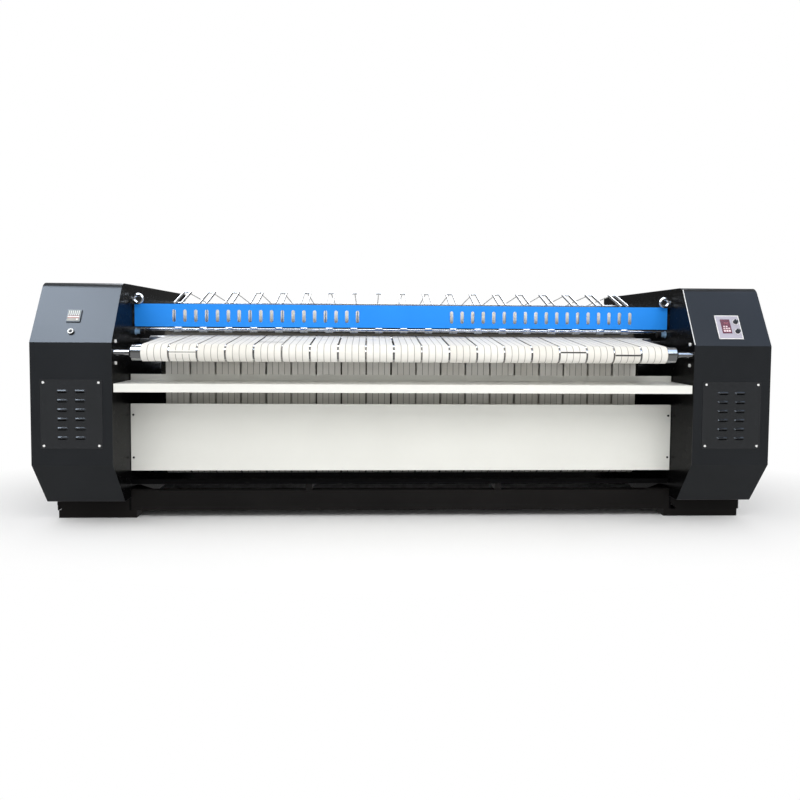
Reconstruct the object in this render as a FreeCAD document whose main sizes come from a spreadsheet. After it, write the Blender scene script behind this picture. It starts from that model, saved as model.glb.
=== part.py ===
# Flatwork ironer for laundries: one heated drum, a feed conveyor of tapes, two end cabinets.
# Frame of the model: +X to the right seen from the feeding side, +Y to the rear, +Z up.
# Origin: middle of the footprint on the floor. In this file a place is written as (x, y, z) with
# x from the middle, y from the cabinets' front face and z from the floor.
import FreeCAD, Part
import math
import os
import Sketcher
from FreeCAD import Rotation, Vector

doc = FreeCAD.newDocument("flatwork_ironer")

values = {
    # whole machine
    "inner_span": 3320.0,          # between the two inner walls
    "cabinet_width": 452.0,
    "machine_depth": 1600.0,
    "head_room": 149.0,            # from the drum's top to the roof
    # cabinet profile
    "front_top": 1072.0,           # where the front bends into the upper slope
    "front_bottom": 380.0,
    "upper_slope_run": 188.0,
    "lower_slope_run": 189.0,
    "cabinet_bottom": 125.0,
    "top_round": 62.0,
    "lower_round": 20.0,
    "sheet": 2.5,
    "seam": 295.0,                 # front edge of the frame plates
    "plate_thickness": 12.0,
    # plinths, feet and cross members
    "plinth_inset": 9.0,
    "plinth_wall": 6.0,
    "plinth_corner": 36.0,
    "foot_height": 45.0,
    "foot_depth": 100.0,
    "foot_inset": 19.0,
    "foot_toe": 32.0,              # how far a foot reaches in past the inner wall
    "foot_wall": 8.0,
    "anchor_hole": 7.0,
    "anchor_inset": 14.0,
    "beam_height": 120.0,
    "beam_flange": 60.0,
    "beam_wall": 6.0,
    "tie_offset": 584.0,
    "tie_width": 40.0,
    "tie_height": 40.0,
    "gusset_leg": 150.0,
    "pan_gap": 4.0,                # from the walls and beams
    "pan_edge": 30.0,
    "pan_sheet": 2.0,
    # drum
    "drum_side_gap": 110.0,        # from an inner wall to the drum
    "drum_radius": 400.0,
    "drum_wall": 12.0,
    "drum_y": 960.0,
    "drum_height": 867.0,
    "drum_end": 25.0,
    "drum_hub": 95.0,
    "drum_hub_flare": 28.5,
    "drum_journal": 55.0,
    "drum_shaft_run": 52.0,        # journal beyond the frame plate
    # rollers
    "feed_radius": 46.5,
    "feed_side_gap": 96.5,
    "feed_journal": 17.0,
    "feed_y": 28.0,
    "feed_drop": 55.0,             # below the front's upper bend
    "feed_chamfer": 12.0,
    "nip_radius": 32.0,
    "nip_y": 505.0,
    "nip_height": 1075.0,
    "takeup_radius": 30.0,
    "takeup_y": 505.0,
    "takeup_height": 268.0,
    "snub_radius": 30.0,
    "snub_y": 437.0,
    "snub_height": 993.0,
    "roller_side_gap": 60.0,
    "roller_journal": 14.0,
    "roller_shaft_run": 34.0,
    "press_radius": 60.0,
    "press_gap": 2.0,              # room for the linen
    "press_side_gap": 120.0,
    "press_journal": 22.0,
    "front_press_angle": 54.0,     # degrees round the drum, up from its front
    "upper_press_angle": 130.0,
    "rear_press_angle": 165.0,
    # bearings
    "bearing_flange": 12.0,
    "bearing_boss": 30.0,
    "bearing_wall": 14.0,
    "bore_gap": 0.05,
    "plate_hole_gap": 3.0,
    "feed_bolt_y": 55.0,
    "feed_bolt_spread": 62.0,
    "bolt_radius": 6.0,
    "bolt_head": 10.0,
    "bolt_head_height": 7.0,
    # tapes
    "tape_count": 19,
    "tape_side_gap": 159.95,       # from an inner wall to the row
    "tape_space": 7.9,
    "tape_thickness": 3.0,
    "tape_gap": 0.3,
    # guide arms and stays
    "shaft_radius": 9.0,
    "shaft_y": 490.0,
    "shaft_height": 1146.0,
    "arm_knee": 1312.0,
    "arm_peak_y": 733.0,
    "arm_peak_rise": 91.2,         # above the front pressure roller
    "arm_bar": 16.0,
    "arm_leaf": 4.0,
    "arm_span": 44.0,
    "arm_hub": 16.0,
    "arm_pin": 6.0,
    "anchor_y": 1300.0,
    "anchor_rise": 57.1,           # above the upper pressure roller
    "anchor_radius": 10.0,
    "stay_radius": 3.0,
    # finger guard
    "guard_y": 371.0,
    "guard_bottom": 1164.0,
    "guard_top": 1303.0,
    "guard_flange": 25.0,
    "guard_sheet": 3.0,
    "guard_end_gap": 8.0,
    "guard_slot_height": 1231.0,
    "guard_slot_length": 76.0,
    "guard_slot_width": 21.0,
    "guard_slot_pitch": 66.0,
    "guard_slot_count": 18,
    "guard_slot_inner": 292.0,
    "guard_pivot_y": 398.0,
    "guard_pivot_height": 1284.0,
    "guard_pin": 6.0,
    "guard_pin_end": 9.0,
    "switch_y": 415.0,
    "switch_height": 1133.0,
    "switch_base": 22.5,
    "switch_radius": 16.0,
    "switch_reach": 30.0,
    "switch_knob": 19.0,
    "switch_knob_length": 24.0,
    # eyebolts
    "eye_y": 348.0,
    "eye_height": 1331.0,
    "eye_ring": 25.0,
    "eye_wire": 10.0,
    "eye_neck": 8.0,
    "eye_collar": 14.0,
    "eye_collar_height": 6.0,
    "eye_reach": 36.0,
    # shelf, panels
    "shelf_front": 7.0,
    "shelf_top": 841.0,
    "shelf_lip": 48.0,
    "shelf_rear": 300.0,
    "shelf_upstand": 36.0,
    "shelf_sheet": 3.0,
    "shelf_end_gap": 5.0,
    "panel_top": 697.0,
    "panel_bottom": 290.0,
    "panel_return": 20.0,
    "panel_sheet": 3.0,
    "panel_end_gap": 3.0,
    "panel_screw_inset": 16.0,
    "panel_screw_high": 630.0,
    "panel_screw_low": 370.0,
    "cleat_width": 30.0,
    "cleat_wall": 6.0,
    "cleat_overrun": 24.0,
    "bracket_width": 35.0,
    "bracket_wall": 5.0,
    "bracket_inset": 20.0,
    "outlet_gap": 5.0,             # from the drum
    "outlet_height": 760.0,
    # access panels
    "door_width": 344.0,
    "door_height": 392.0,
    "door_middle": 669.0,
    "door_sheet": 2.0,
    "door_window": 34.0,
    "door_screw_x": 153.0,
    "door_screw_z": 178.5,
    "screw_radius": 3.0,
    "screw_head": 6.5,
    "screw_head_height": 3.0,
    "louvre_length": 66.0,
    "louvre_width": 20.0,
    "louvre_lift": 9.0,
    "louvre_taper": 38.0,
    "louvre_columns": 99.0,
    "louvre_rows": 52.6,
    "louvre_first": 535.0,
    "louvre_row_count": 6,
    "louvre_slit": 7.0,
    # controls on the slopes, measured up the slope from its lower bend
    "control_width": 144.0,
    "control_height": 157.0,
    "control_rise": 44.5,
    "control_offset": 225.5,
    "control_sheet": 2.0,
    "display_width": 56.0,
    "display_height": 92.0,
    "display_rise": 82.0,
    "display_shift": -15.5,
    "knob_shift": 46.0,
    "knob_radius": 13.0,
    "knob_height": 14.0,
    "knob_gap": 0.3,
    "knob_ridge": 5.0,
    "knob_ridge_length": 23.4,
    "upper_knob_rise": 157.0,
    "lower_knob_rise": 94.5,
    "meter_side": 77.0,
    "meter_proud": 8.0,
    "meter_depth": 70.0,
    "meter_wall": 5.0,
    "meter_gap": 2.0,
    "meter_rise": 129.0,
    "meter_offset": 217.5,
    "key_rise": 67.0,
    "key_radius": 15.0,
    "key_proud": 5.0,
    "key_rotor": 8.0,
    "key_hole_gap": 2.0,
    "key_depth": 30.0,
    "key_bow": 4.0,
    "key_bow_width": 12.0,
    "key_rotor_proud": 1.0,
    # drive in the left cabinet
    "sprocket_plane": 58.0,        # from the frame plate's outer face
    "sprocket_thickness": 14.0,
    "drum_teeth": 40,
    "drive_teeth": 13,
    "tooth_pitch": 31.75,
    "tooth_height": 9.0,
    "tooth_foot": 21.6,
    "tooth_tip": 7.6,
    "drive_y": 700.0,
    "drive_height": 330.0,
    "drive_shaft": 16.0,
    "chain_thickness": 12.0,
    "chain_width": 18.0,
    "chain_gap": 0.5,
    "gearbox_width": 130.0,
    "gearbox_side": 200.0,
    "gearbox_gap": 12.0,
    "motor_radius": 62.0,
    "motor_length": 270.0,
    "motor_shelf": 8.0,
    "electric_width": 180.0,
    "electric_depth": 300.0,
    "electric_height": 420.0,
    "electric_y": 560.0,
    "electric_bottom": 620.0,
}

sheet = doc.addObject("Spreadsheet::Sheet", "sizes")
for row, (alias, amount) in enumerate(values.items(), start=1):
    sheet.set("A%d" % row, alias)
    sheet.set("B%d" % row, str(amount))
    sheet.setAlias("B%d" % row, alias)
doc.recompute()


# A number together with the sheet expression that gives it.
class Size:
    def __init__(self, value, text):
        self.value = value
        self.text = text

    def joined(self, sign, other, value):
        return Size(value, "(%s %s %s)" % (self.text, sign, words(other)))

    def __add__(self, other):
        return self.joined("+", other, self.value + number(other))

    def __radd__(self, other):
        return as_size(other) + self

    def __sub__(self, other):
        return self.joined("-", other, self.value - number(other))

    def __rsub__(self, other):
        return as_size(other) - self

    def __mul__(self, other):
        return self.joined("*", other, self.value * number(other))

    def __rmul__(self, other):
        return as_size(other) * self

    def __truediv__(self, other):
        return self.joined("/", other, self.value / number(other))

    def __neg__(self):
        return Size(-self.value, "(-1 * %s)" % self.text)


def as_size(amount):
    return amount if isinstance(amount, Size) else Size(amount, repr(float(amount)))


def number(amount):
    return as_size(amount).value


def words(amount):
    return as_size(amount).text


class Cells:
    pass


c = Cells()
for alias, amount in values.items():
    setattr(c, alias, Size(amount, "sizes.%s" % alias))


def trig(name, run, rise, share=1):
    angle = math.atan(number(run) / number(rise)) * share
    text = "%s(atan(%s / %s) * %r)" % (name, words(run), words(rise), float(share))
    return Size(getattr(math, name)(angle), text)


def polar(radius, degrees):
    angle = math.radians(number(degrees))
    along = Size(number(radius) * math.cos(angle), "(%s * cos(%s))" % (words(radius), words(degrees)))
    up = Size(number(radius) * math.sin(angle), "(%s * sin(%s))" % (words(radius), words(degrees)))
    return along, up


def bind(obj, path, size):
    obj.setExpression(path, words(size))


# The tapes stand ahead of the cabinets on the feed roller, so the footprint starts at them.
tape_front = c.feed_y - c.feed_radius - c.tape_gap - c.tape_thickness
origin_y = (c.machine_depth + tape_front) / 2

feed_height = c.front_top - c.feed_drop

# What lies between the walls follows their span.
drum_length = c.inner_span - 2 * c.drum_side_gap
feed_length = c.inner_span - 2 * c.feed_side_gap
roller_length = c.inner_span - 2 * c.roller_side_gap
press_length = c.inner_span - 2 * c.press_side_gap
tape_pitch = (c.inner_span - 2 * c.tape_side_gap) / c.tape_count
tape_width = tape_pitch - c.tape_space


def place(obj, x, y, z, rotation=None):
    if rotation:
        obj.Placement = FreeCAD.Placement(Vector(0, 0, 0), rotation)
    bind(obj, "Placement.Base.x", x)
    bind(obj, "Placement.Base.y", y - origin_y)
    bind(obj, "Placement.Base.z", z)
    return obj


nodes = []


def node(name, obj):
    obj.Label = name
    nodes.append(obj)
    return obj


# ---- sketches and bodies

def new_body(name):
    return doc.addObject("PartDesign::Body", name)


def sketch(body, role, name):
    plane = [f for f in body.Origin.OriginFeatures if f.Role == role][0]
    made = body.newObject("Sketcher::SketchObject", name)
    made.AttachmentSupport = [(plane, "")]
    made.MapMode = "FlatFace"
    return made


def dimension(target, kind, geometry, point, size):
    size = as_size(size)
    axis = -2 if kind == "DistanceX" else -1
    if size.value == 0:
        target.addConstraint(Sketcher.Constraint("PointOnObject", geometry, point, axis))
        return
    ends = (-1, 1, geometry, point) if size.value > 0 else (geometry, point, -1, 1)
    size = size if size.value > 0 else -size
    index = target.addConstraint(Sketcher.Constraint(kind, *ends, size.value))
    bind(target, "Constraints[%d]" % index, size)


def polygon(target, points):
    first = target.GeometryCount
    spots = [Vector(number(a), number(b), 0) for a, b in points]
    count = len(points)
    for i in range(count):
        target.addGeometry(Part.LineSegment(spots[i], spots[(i + 1) % count]), False)
    for i in range(count):
        target.addConstraint(Sketcher.Constraint("Coincident", first + i, 2, first + (i + 1) % count, 1))
    for i, (a, b) in enumerate(points):
        dimension(target, "DistanceX", first + i, 1, a)
        dimension(target, "DistanceY", first + i, 1, b)


def rectangle(target, low, high):
    polygon(target, [low, (high[0], low[1]), high, (low[0], high[1])])


def circle(target, across, up, radius):
    index = target.addGeometry(Part.Circle(Vector(number(across), number(up), 0), Vector(0, 0, 1),
                                           number(radius)), False)
    dimension(target, "DistanceX", index, 3, across)
    dimension(target, "DistanceY", index, 3, up)
    held = target.addConstraint(Sketcher.Constraint("Radius", index, number(radius)))
    bind(target, "Constraints[%d]" % held, radius)


# A slot with round ends, from one end's centre to the other's.
def slot(target, low, high, radius):
    a = Vector(number(low[0]), number(low[1]), 0)
    b = Vector(number(high[0]), number(high[1]), 0)
    r = number(radius)
    turn = math.atan2(b.y - a.y, b.x - a.x)
    side = Vector(-math.sin(turn), math.cos(turn), 0) * r
    axis = Vector(0, 0, 1)
    lower = target.addGeometry(Part.LineSegment(a - side, b - side), False)
    far = target.addGeometry(Part.ArcOfCircle(Part.Circle(b, axis, r), turn - math.pi / 2,
                                              turn + math.pi / 2), False)
    upper = target.addGeometry(Part.LineSegment(b + side, a + side), False)
    near = target.addGeometry(Part.ArcOfCircle(Part.Circle(a, axis, r), turn + math.pi / 2,
                                               turn + math.pi * 1.5), False)
    ring = [lower, far, upper, near]
    for i in range(4):
        target.addConstraint(Sketcher.Constraint("Tangent", ring[i], 2, ring[(i + 1) % 4], 1))
    target.addConstraint(Sketcher.Constraint("Equal", near, far))
    for arc, end in ((near, low), (far, high)):
        dimension(target, "DistanceX", arc, 3, end[0])
        dimension(target, "DistanceY", arc, 3, end[1])
    held = target.addConstraint(Sketcher.Constraint("Radius", near, r))
    bind(target, "Constraints[%d]" % held, radius)


def pad(body, profile, length, flipped=False):
    made = body.newObject("PartDesign::Pad", profile.Name + "_pad")
    made.Profile = profile
    made.Reversed = flipped
    bind(made, "Length", length)
    return made


def pocket(body, profile, flipped=False):
    before = volume_of(body)
    made = body.newObject("PartDesign::Pocket", profile.Name + "_cut")
    made.Profile = profile
    made.Type = 1
    made.Reversed = flipped
    doc.recompute()
    if volume_of(body) >= before:
        raise ValueError(made.Name + " cuts nothing")
    return made


def volume_of(body):
    doc.recompute()
    return body.Shape.Volume


def pattern(body, original, axis, span, count, axis2=None, span2=None, count2=None):
    made = body.newObject("PartDesign::LinearPattern", original.Name + "_row")
    made.Originals = [original]
    made.Direction = (original.Profile[0], [axis])
    bind(made, "Length", span)
    bind(made, "Occurrences", count)
    if axis2:
        made.Direction2 = (original.Profile[0], [axis2])
        bind(made, "Length2", span2)
        bind(made, "Occurrences2", count2)
    body.Tip = made
    return made


# Rounds the edges along X that pass through the given (y, z) corners.
def round_edges(body, corners, radius):
    doc.recompute()
    base = body.Tip
    wanted = []
    for index, edge in enumerate(base.Shape.Edges, start=1):
        a, b = edge.Vertexes[0].Point, edge.Vertexes[-1].Point
        if abs(a.y - b.y) > 0.01 or abs(a.z - b.z) > 0.01:
            continue
        for y, z in corners:
            if abs(a.y - number(y)) < 0.01 and abs(a.z - number(z)) < 0.01:
                wanted.append("Edge%d" % index)
    made = body.newObject("PartDesign::Fillet", body.Name + "_round")
    made.Base = (base, wanted)
    bind(made, "Radius", radius)
    doc.recompute()
    return made


# A section in the (y, z) plane, carried along X; round holes go right through.
def extruded(name, outline, start, length, holes=()):
    body = new_body(name)
    profile = sketch(body, "YZ_Plane", name + "_section")
    polygon(profile, outline)
    for y, z, radius in holes:
        circle(profile, y, z, radius)
    pad(body, profile, length)
    place(body, start, 0 * c.machine_depth, 0)
    return body


# A piece turned about X, from (distance along, radius) points.
def turned(name, points, start, y, z, flip=False):
    body = new_body(name)
    profile = sketch(body, "XZ_Plane", name + "_section")
    polygon(profile, points)
    spin = body.newObject("PartDesign::Revolution", name + "_turn")
    spin.Profile = profile
    spin.ReferenceAxis = (profile, ["H_Axis"])
    spin.Angle = 360
    rotation = Rotation(Vector(0, 0, 1), 180) if flip else None
    place(body, start, y, z, rotation)
    return body


# ---- plain solids

def block(name, low, span):
    made = doc.addObject("Part::Box", name)
    for side, amount in zip(("Length", "Width", "Height"), span):
        bind(made, side, amount)
    return place(made, *low)


along_x = Rotation(Vector(0, 1, 0), 90)
along_y = Rotation(Vector(1, 0, 0), -90)


def rod(name, radius, length, start, y, z, rotation=along_x):
    made = doc.addObject("Part::Cylinder", name)
    bind(made, "Radius", radius)
    bind(made, "Height", length)
    return place(made, start, y, z, rotation)


def fused(name, pieces):
    made = doc.addObject("Part::MultiFuse", name)
    made.Shapes = pieces
    made.Refine = True
    return made


def cut(name, base, tools):
    made = doc.addObject("Part::Cut", name)
    made.Base = base
    made.Tool = tools[0] if len(tools) == 1 else fused(name + "_tools", tools)
    return made


def group(name, pieces):
    made = doc.addObject("Part::Compound", name)
    made.Links = pieces
    return node(name, made)


# ---- shared places

wall = c.inner_span / 2
outer = wall + c.cabinet_width
plate_face = wall + c.plate_thickness
zero_y = 0 * c.machine_depth
left, right = -1, 1
sides = ((left, "left"), (right, "right"))


# The low X of a piece that starts `reach` from the middle on either side.
def start_at(side, reach, length):
    return as_size(reach) if side == right else -(as_size(reach) + length)


press_distance = c.drum_radius + c.press_radius + c.press_gap


def press_centre(degrees):
    back, up = polar(press_distance, degrees)
    return c.drum_y - back, c.drum_height + up


press_places = [("front", c.front_press_angle), ("upper", c.upper_press_angle),
                ("rear", c.rear_press_angle)]
arm_peak_height = press_centre(c.front_press_angle)[1] + c.press_radius + c.arm_peak_rise
anchor_height = press_centre(c.upper_press_angle)[1] + c.press_radius + c.anchor_rise

cabinet_top = c.drum_height + c.drum_radius + c.head_room
upper_rise = cabinet_top - c.front_top
lower_rise = c.front_bottom - c.cabinet_bottom
upper_half = trig("tan", c.upper_slope_run, upper_rise, 0.5)
lower_half = trig("tan", c.lower_slope_run, lower_rise, 0.5)
slope_sin = trig("sin", c.upper_slope_run, upper_rise)
slope_cos = trig("cos", c.upper_slope_run, upper_rise)
slope_degrees = math.degrees(math.atan(c.upper_slope_run.value / upper_rise.value))
top_mitre = c.sheet * (1 - upper_half) / (1 + upper_half)
bottom_mitre = c.sheet * (1 - lower_half) / (1 + lower_half)
roof = cabinet_top - c.sheet
pan = c.cabinet_bottom + c.sheet
rear = c.machine_depth - c.sheet

outer_top = (c.upper_slope_run, cabinet_top)
outer_low = (c.lower_slope_run, c.cabinet_bottom)
inner_top = (c.upper_slope_run + top_mitre, roof)
inner_low = (c.lower_slope_run + bottom_mitre, pan)
inner_front = [inner_low, (c.sheet, c.front_bottom + c.sheet * lower_half),
               (c.sheet, c.front_top - c.sheet * upper_half), inner_top]
outer_front = [outer_low, (zero_y, c.front_bottom), (zero_y, c.front_top), outer_top]



# ---- cabinets

# One folded sheet: lower slope, front, upper slope and roof.
def cabinet_wrap(side, word):
    name = "cabinet_wrap_" + word
    band = [(c.seam, c.cabinet_bottom)] + outer_front + [(c.machine_depth, cabinet_top)]
    band += [(c.machine_depth, roof)] + inner_front[::-1] + [(c.seam, pan)]
    body = extruded(name, band, start_at(side, wall, c.cabinet_width), c.cabinet_width)
    round_edges(body, [outer_top], c.top_round)
    round_edges(body, [inner_top], c.top_round - c.sheet)
    round_edges(body, [outer_low], c.lower_round)
    round_edges(body, [inner_low], c.lower_round - c.sheet)
    middle = c.cabinet_width / 2
    openings = sketch(body, "XZ_Plane", name + "_openings")
    low = (middle - c.door_width / 2 + c.door_window, c.door_middle - c.door_height / 2 + c.door_window)
    high = (middle + c.door_width / 2 - c.door_window, c.door_middle + c.door_height / 2 - c.door_window)
    rectangle(openings, low, high)
    for x, z in door_screws(middle):
        circle(openings, x, z, c.screw_radius)
    if side == left:
        half = c.meter_side / 2 - c.meter_wall
        low_z = c.front_top + (c.meter_rise + c.meter_wall) * slope_cos
        high_z = c.front_top + (c.meter_rise + c.meter_side - c.meter_wall) * slope_cos
        rectangle(openings, (c.meter_offset - half, low_z), (c.meter_offset + half, high_z))
        key_hole = c.key_rotor + c.key_hole_gap
        circle(openings, c.meter_offset, c.front_top + c.key_rise * slope_cos, key_hole)
    pocket(body, openings)
    return node(name, body)


def door_screws(middle):
    spots = []
    for across in (-1, 1):
        for up in (-1, 1):
            spots.append((middle + across * c.door_screw_x, c.door_middle + up * c.door_screw_z))
    return spots


# The inner cheek closes the cabinet's nose in front of the frame plate.
def cabinet_cheek(side, word):
    outline = [(c.seam, pan)] + inner_front + [(c.seam, roof)]
    holes = [(c.feed_y, feed_height, c.feed_journal + c.bore_gap)]
    for up in (-1, 1):
        holes.append((c.feed_bolt_y, feed_height + up * c.feed_bolt_spread, c.bolt_radius))
    body = extruded("cabinet_cheek_" + word, outline, start_at(side, wall, c.sheet), c.sheet, holes)
    round_edges(body, [inner_top], c.top_round - c.sheet)
    round_edges(body, [inner_low], c.lower_round - c.sheet)
    return body


def side_cover(side, word):
    outline = inner_front + [(rear, roof), (rear, pan)]
    start = start_at(side, outer - c.sheet, c.sheet)
    body = extruded("side_cover_" + word, outline, start, c.sheet)
    round_edges(body, [inner_top], c.top_round - c.sheet)
    round_edges(body, [inner_low], c.lower_round - c.sheet)
    return body


def rear_door(side, word):
    start = start_at(side, wall, c.cabinet_width)
    return block("rear_door_" + word, (start, rear, pan), (c.cabinet_width, c.sheet, roof - pan))


# Every shaft that the frame plates carry: y, z and shaft radius.
cross_shafts = [(c.nip_y, c.nip_height, c.roller_journal),
                (c.takeup_y, c.takeup_height, c.roller_journal),
                (c.snub_y, c.snub_height, c.roller_journal),
                (c.drum_y, c.drum_height, c.drum_journal)]
for place_name, degrees in press_places:
    cross_shafts.append(press_centre(degrees) + (c.press_journal,))


def frame_plate(side, word):
    outline = [(c.seam, c.foot_height), (rear, c.foot_height), (rear, roof), (c.seam, roof)]
    holes = [(y, z, radius + c.plate_hole_gap) for y, z, radius in cross_shafts]
    holes.append((c.shaft_y, c.shaft_height, c.shaft_radius))
    holes.append((c.anchor_y, anchor_height, c.anchor_radius))
    holes.append((c.guard_pivot_y, c.guard_pivot_height, c.guard_pin))
    start = start_at(side, wall, c.plate_thickness)
    body = extruded("frame_plate_" + word, outline, start, c.plate_thickness, holes)
    return node("frame_plate_" + word, body)


# Front plate with one cut lower corner, outer rail and rear plate.
def plinth(side, word):
    run = c.cabinet_width - c.plate_thickness - c.plinth_inset
    start = start_at(side, plate_face, run)
    rise = c.cabinet_bottom - c.foot_height
    front = new_body("plinth_front_" + word)
    face = sketch(front, "XZ_Plane", "plinth_face_" + word)
    polygon(face, [(c.plinth_corner, 0), (run, 0), (run, rise), (0, rise), (0, c.plinth_corner)])
    pad(front, face, c.plinth_wall, flipped=True)
    place(front, start, c.seam, c.foot_height)
    back = block("plinth_rear_" + word, (start, rear - c.plinth_wall, c.foot_height),
                 (run, c.plinth_wall, rise))
    rail_start = start_at(side, plate_face + run - c.plinth_wall, c.plinth_wall)
    rail_length = rear - c.seam - 2 * c.plinth_wall
    rail = block("plinth_rail_" + word, (rail_start, c.seam + c.plinth_wall, c.foot_height),
                 (c.plinth_wall, rail_length, rise))
    return [front, back, rail]


# Channel feet under both ends of each cabinet, open below, with an anchor hole in the toe.
def foot(side, word, front):
    run = c.cabinet_width - c.foot_inset + c.foot_toe
    start = start_at(side, wall - c.foot_toe, run)
    low_y = as_size(front)
    name = "foot_%s_%d" % (word, round(number(front)))
    base = block(name + "_bar", (start, low_y, zero_y), (run, c.foot_depth, c.foot_height))
    inner = plate_face
    hollow = run - c.foot_toe - c.plate_thickness - c.foot_wall
    groove = block(name + "_groove", (start_at(side, inner, hollow), low_y + c.foot_wall, zero_y),
                   (hollow, c.foot_depth - 2 * c.foot_wall, c.foot_height - c.foot_wall))
    anchor_x = side * (wall - c.foot_toe + c.anchor_inset)
    anchor = rod(name + "_anchor", c.anchor_hole, c.foot_height, anchor_x,
                 low_y + c.foot_depth / 2, zero_y, Rotation())
    return cut(name, base, [groove, anchor])


rear_foot = c.machine_depth - c.foot_depth
feet = []
for side, word in sides:
    cabinet_wrap(side, word)
    frame_plate(side, word)
    feet += [foot(side, word, c.seam), foot(side, word, rear_foot)]
group("feet", feet)
group("plinths", plinth(left, "left") + plinth(right, "right"))
group("cabinet_cheeks", [cabinet_cheek(side, word) for side, word in sides])
group("side_covers", [side_cover(side, word) for side, word in sides])
group("rear_doors", [rear_door(side, word) for side, word in sides])

# ---- cross members between the frame plates

beam_low = c.foot_height
beam_high = c.foot_height + c.beam_height


def cross_beam(word, face, sign):
    web = face + sign * c.beam_wall
    lip = face + sign * c.beam_flange
    outline = [(face, beam_low), (lip, beam_low), (lip, beam_low + c.beam_wall),
               (web, beam_low + c.beam_wall), (web, beam_high - c.beam_wall),
               (lip, beam_high - c.beam_wall), (lip, beam_high), (face, beam_high)]
    return extruded("cross_beam_" + word, outline, -wall, c.inner_span)


group("cross_beams", [cross_beam("front", c.seam, 1), cross_beam("rear", rear, -1)])

ties = []
for side, word in sides:
    start = side * c.tie_offset - c.tie_width / 2
    ties.append(block("floor_tie_" + word, (start, c.seam + c.beam_wall, beam_high),
                      (c.tie_width, rear - c.seam - 2 * c.beam_wall, c.tie_height)))
group("floor_ties", ties)

# Tray for lint on the ties, with four edges turned up.
tray_low = beam_high + c.tie_height
tray_half = wall - c.pan_gap
tray_front, tray_rear = c.seam + c.pan_gap, rear - c.pan_gap
tray = block("lint_tray_outside", (-tray_half, tray_front, tray_low),
             (2 * tray_half, tray_rear - tray_front, c.pan_edge))
hollow = block("lint_tray_hollow", (c.pan_sheet - tray_half, tray_front + c.pan_sheet, tray_low + c.pan_sheet),
               (2 * (tray_half - c.pan_sheet), tray_rear - tray_front - 2 * c.pan_sheet, c.pan_edge))
node("lint_tray", cut("lint_tray", tray, [hollow]))

gussets = []
for side, word in sides:
    body = new_body("gusset_" + word)
    profile = sketch(body, "XY_Plane", "gusset_plan_" + word)
    toe = -side * c.gusset_leg
    polygon(profile, [(0, 0), (toe, 0), (0, c.gusset_leg)])
    pad(body, profile, c.beam_wall)
    place(body, side * wall, c.seam + c.beam_wall, beam_high)
    gussets.append(body)
group("corner_gussets", gussets)


# ---- drum

drum_tube = cut("drum_shell",
                rod("drum_outside", c.drum_radius, drum_length, -drum_length / 2,
                    c.drum_y, c.drum_height),
                [rod("drum_inside", c.drum_radius - c.drum_wall, drum_length, -drum_length / 2,
                     c.drum_y, c.drum_height)])
node("heated_drum", drum_tube)

drum_inner_end = drum_length / 2 - c.drum_end
sprocket_face = plate_face + c.sprocket_plane - c.sprocket_thickness / 2


# End: rim plate, hub and journal; the left journal runs on to the sprocket.
def drum_end(side, word, run):
    tip = plate_face - drum_inner_end + run
    hub_end = c.drum_end + (wall - drum_length / 2) / 2
    bore = c.drum_radius - c.drum_wall
    points = [(0, 0), (tip, 0), (tip, c.drum_journal), (hub_end, c.drum_journal), (hub_end, c.drum_hub),
              (c.drum_end, c.drum_hub + c.drum_hub_flare), (c.drum_end, bore), (0, bore)]
    return turned("drum_end_" + word, points, side * drum_inner_end, c.drum_y, c.drum_height,
                  flip=side == left)


left_run = c.sprocket_plane + c.sprocket_thickness / 2
group("drum_ends", [drum_end(left, "left", left_run), drum_end(right, "right", c.drum_shaft_run)])


# ---- rollers

# Body length and full length over the journals; the shoulders are chamfered.
def roller(name, radius, body_length, full_length, journal, chamfer, y, z):
    shoulder = (full_length - body_length) / 2
    points = [(0, 0), (full_length, 0), (full_length, journal), (full_length - shoulder, journal),
              (full_length - shoulder, radius - chamfer), (full_length - shoulder - chamfer, radius),
              (shoulder + chamfer, radius), (shoulder, radius - chamfer), (shoulder, journal), (0, journal)]
    return node(name, turned(name, points, -full_length / 2, y, z))


feed_full = 2 * (wall + c.sheet + c.bearing_flange + c.bearing_boss)
cross_full = 2 * (plate_face + c.roller_shaft_run)
press_full = 2 * (plate_face + c.bearing_flange + c.bearing_boss)
roller("feed_roller", c.feed_radius, feed_length, feed_full, c.feed_journal, c.feed_chamfer,
       c.feed_y, feed_height)
small_chamfer = c.tape_thickness
roller("nip_roller", c.nip_radius, roller_length, cross_full, c.roller_journal, small_chamfer,
       c.nip_y, c.nip_height)
roller("takeup_roller", c.takeup_radius, roller_length, cross_full, c.roller_journal, small_chamfer,
       c.takeup_y, c.takeup_height)
roller("snub_roller", c.snub_radius, roller_length, cross_full, c.roller_journal, small_chamfer,
       c.snub_y, c.snub_height)
for place_name, degrees in press_places:
    y, z = press_centre(degrees)
    roller("pressure_roller_" + place_name, c.press_radius, press_length, press_full,
           c.press_journal, 2 * small_chamfer, y, z)


# ---- bearings, outside the plates

def flange_bearing(name, side, face, y, z, shaft):
    bore = shaft + c.bore_gap
    boss = shaft + c.bearing_wall
    flange = boss + c.bearing_wall
    pieces = [rod(name + "_flange", flange, c.bearing_flange, start_at(side, face, c.bearing_flange), y, z),
              rod(name + "_boss", boss, c.bearing_flange + c.bearing_boss,
                  start_at(side, face, c.bearing_flange + c.bearing_boss), y, z)]
    hole_length = c.bearing_flange + c.bearing_boss
    hole = rod(name + "_bore", bore, hole_length, start_at(side, face, hole_length), y, z)
    return cut(name, fused(name + "_body", pieces), [hole])


def bearing_pair(name, y, z, shaft):
    pieces = []
    for side, word in sides:
        pieces.append(flange_bearing(name + "_" + word, side, plate_face, y, z, shaft))
    return pieces


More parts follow.
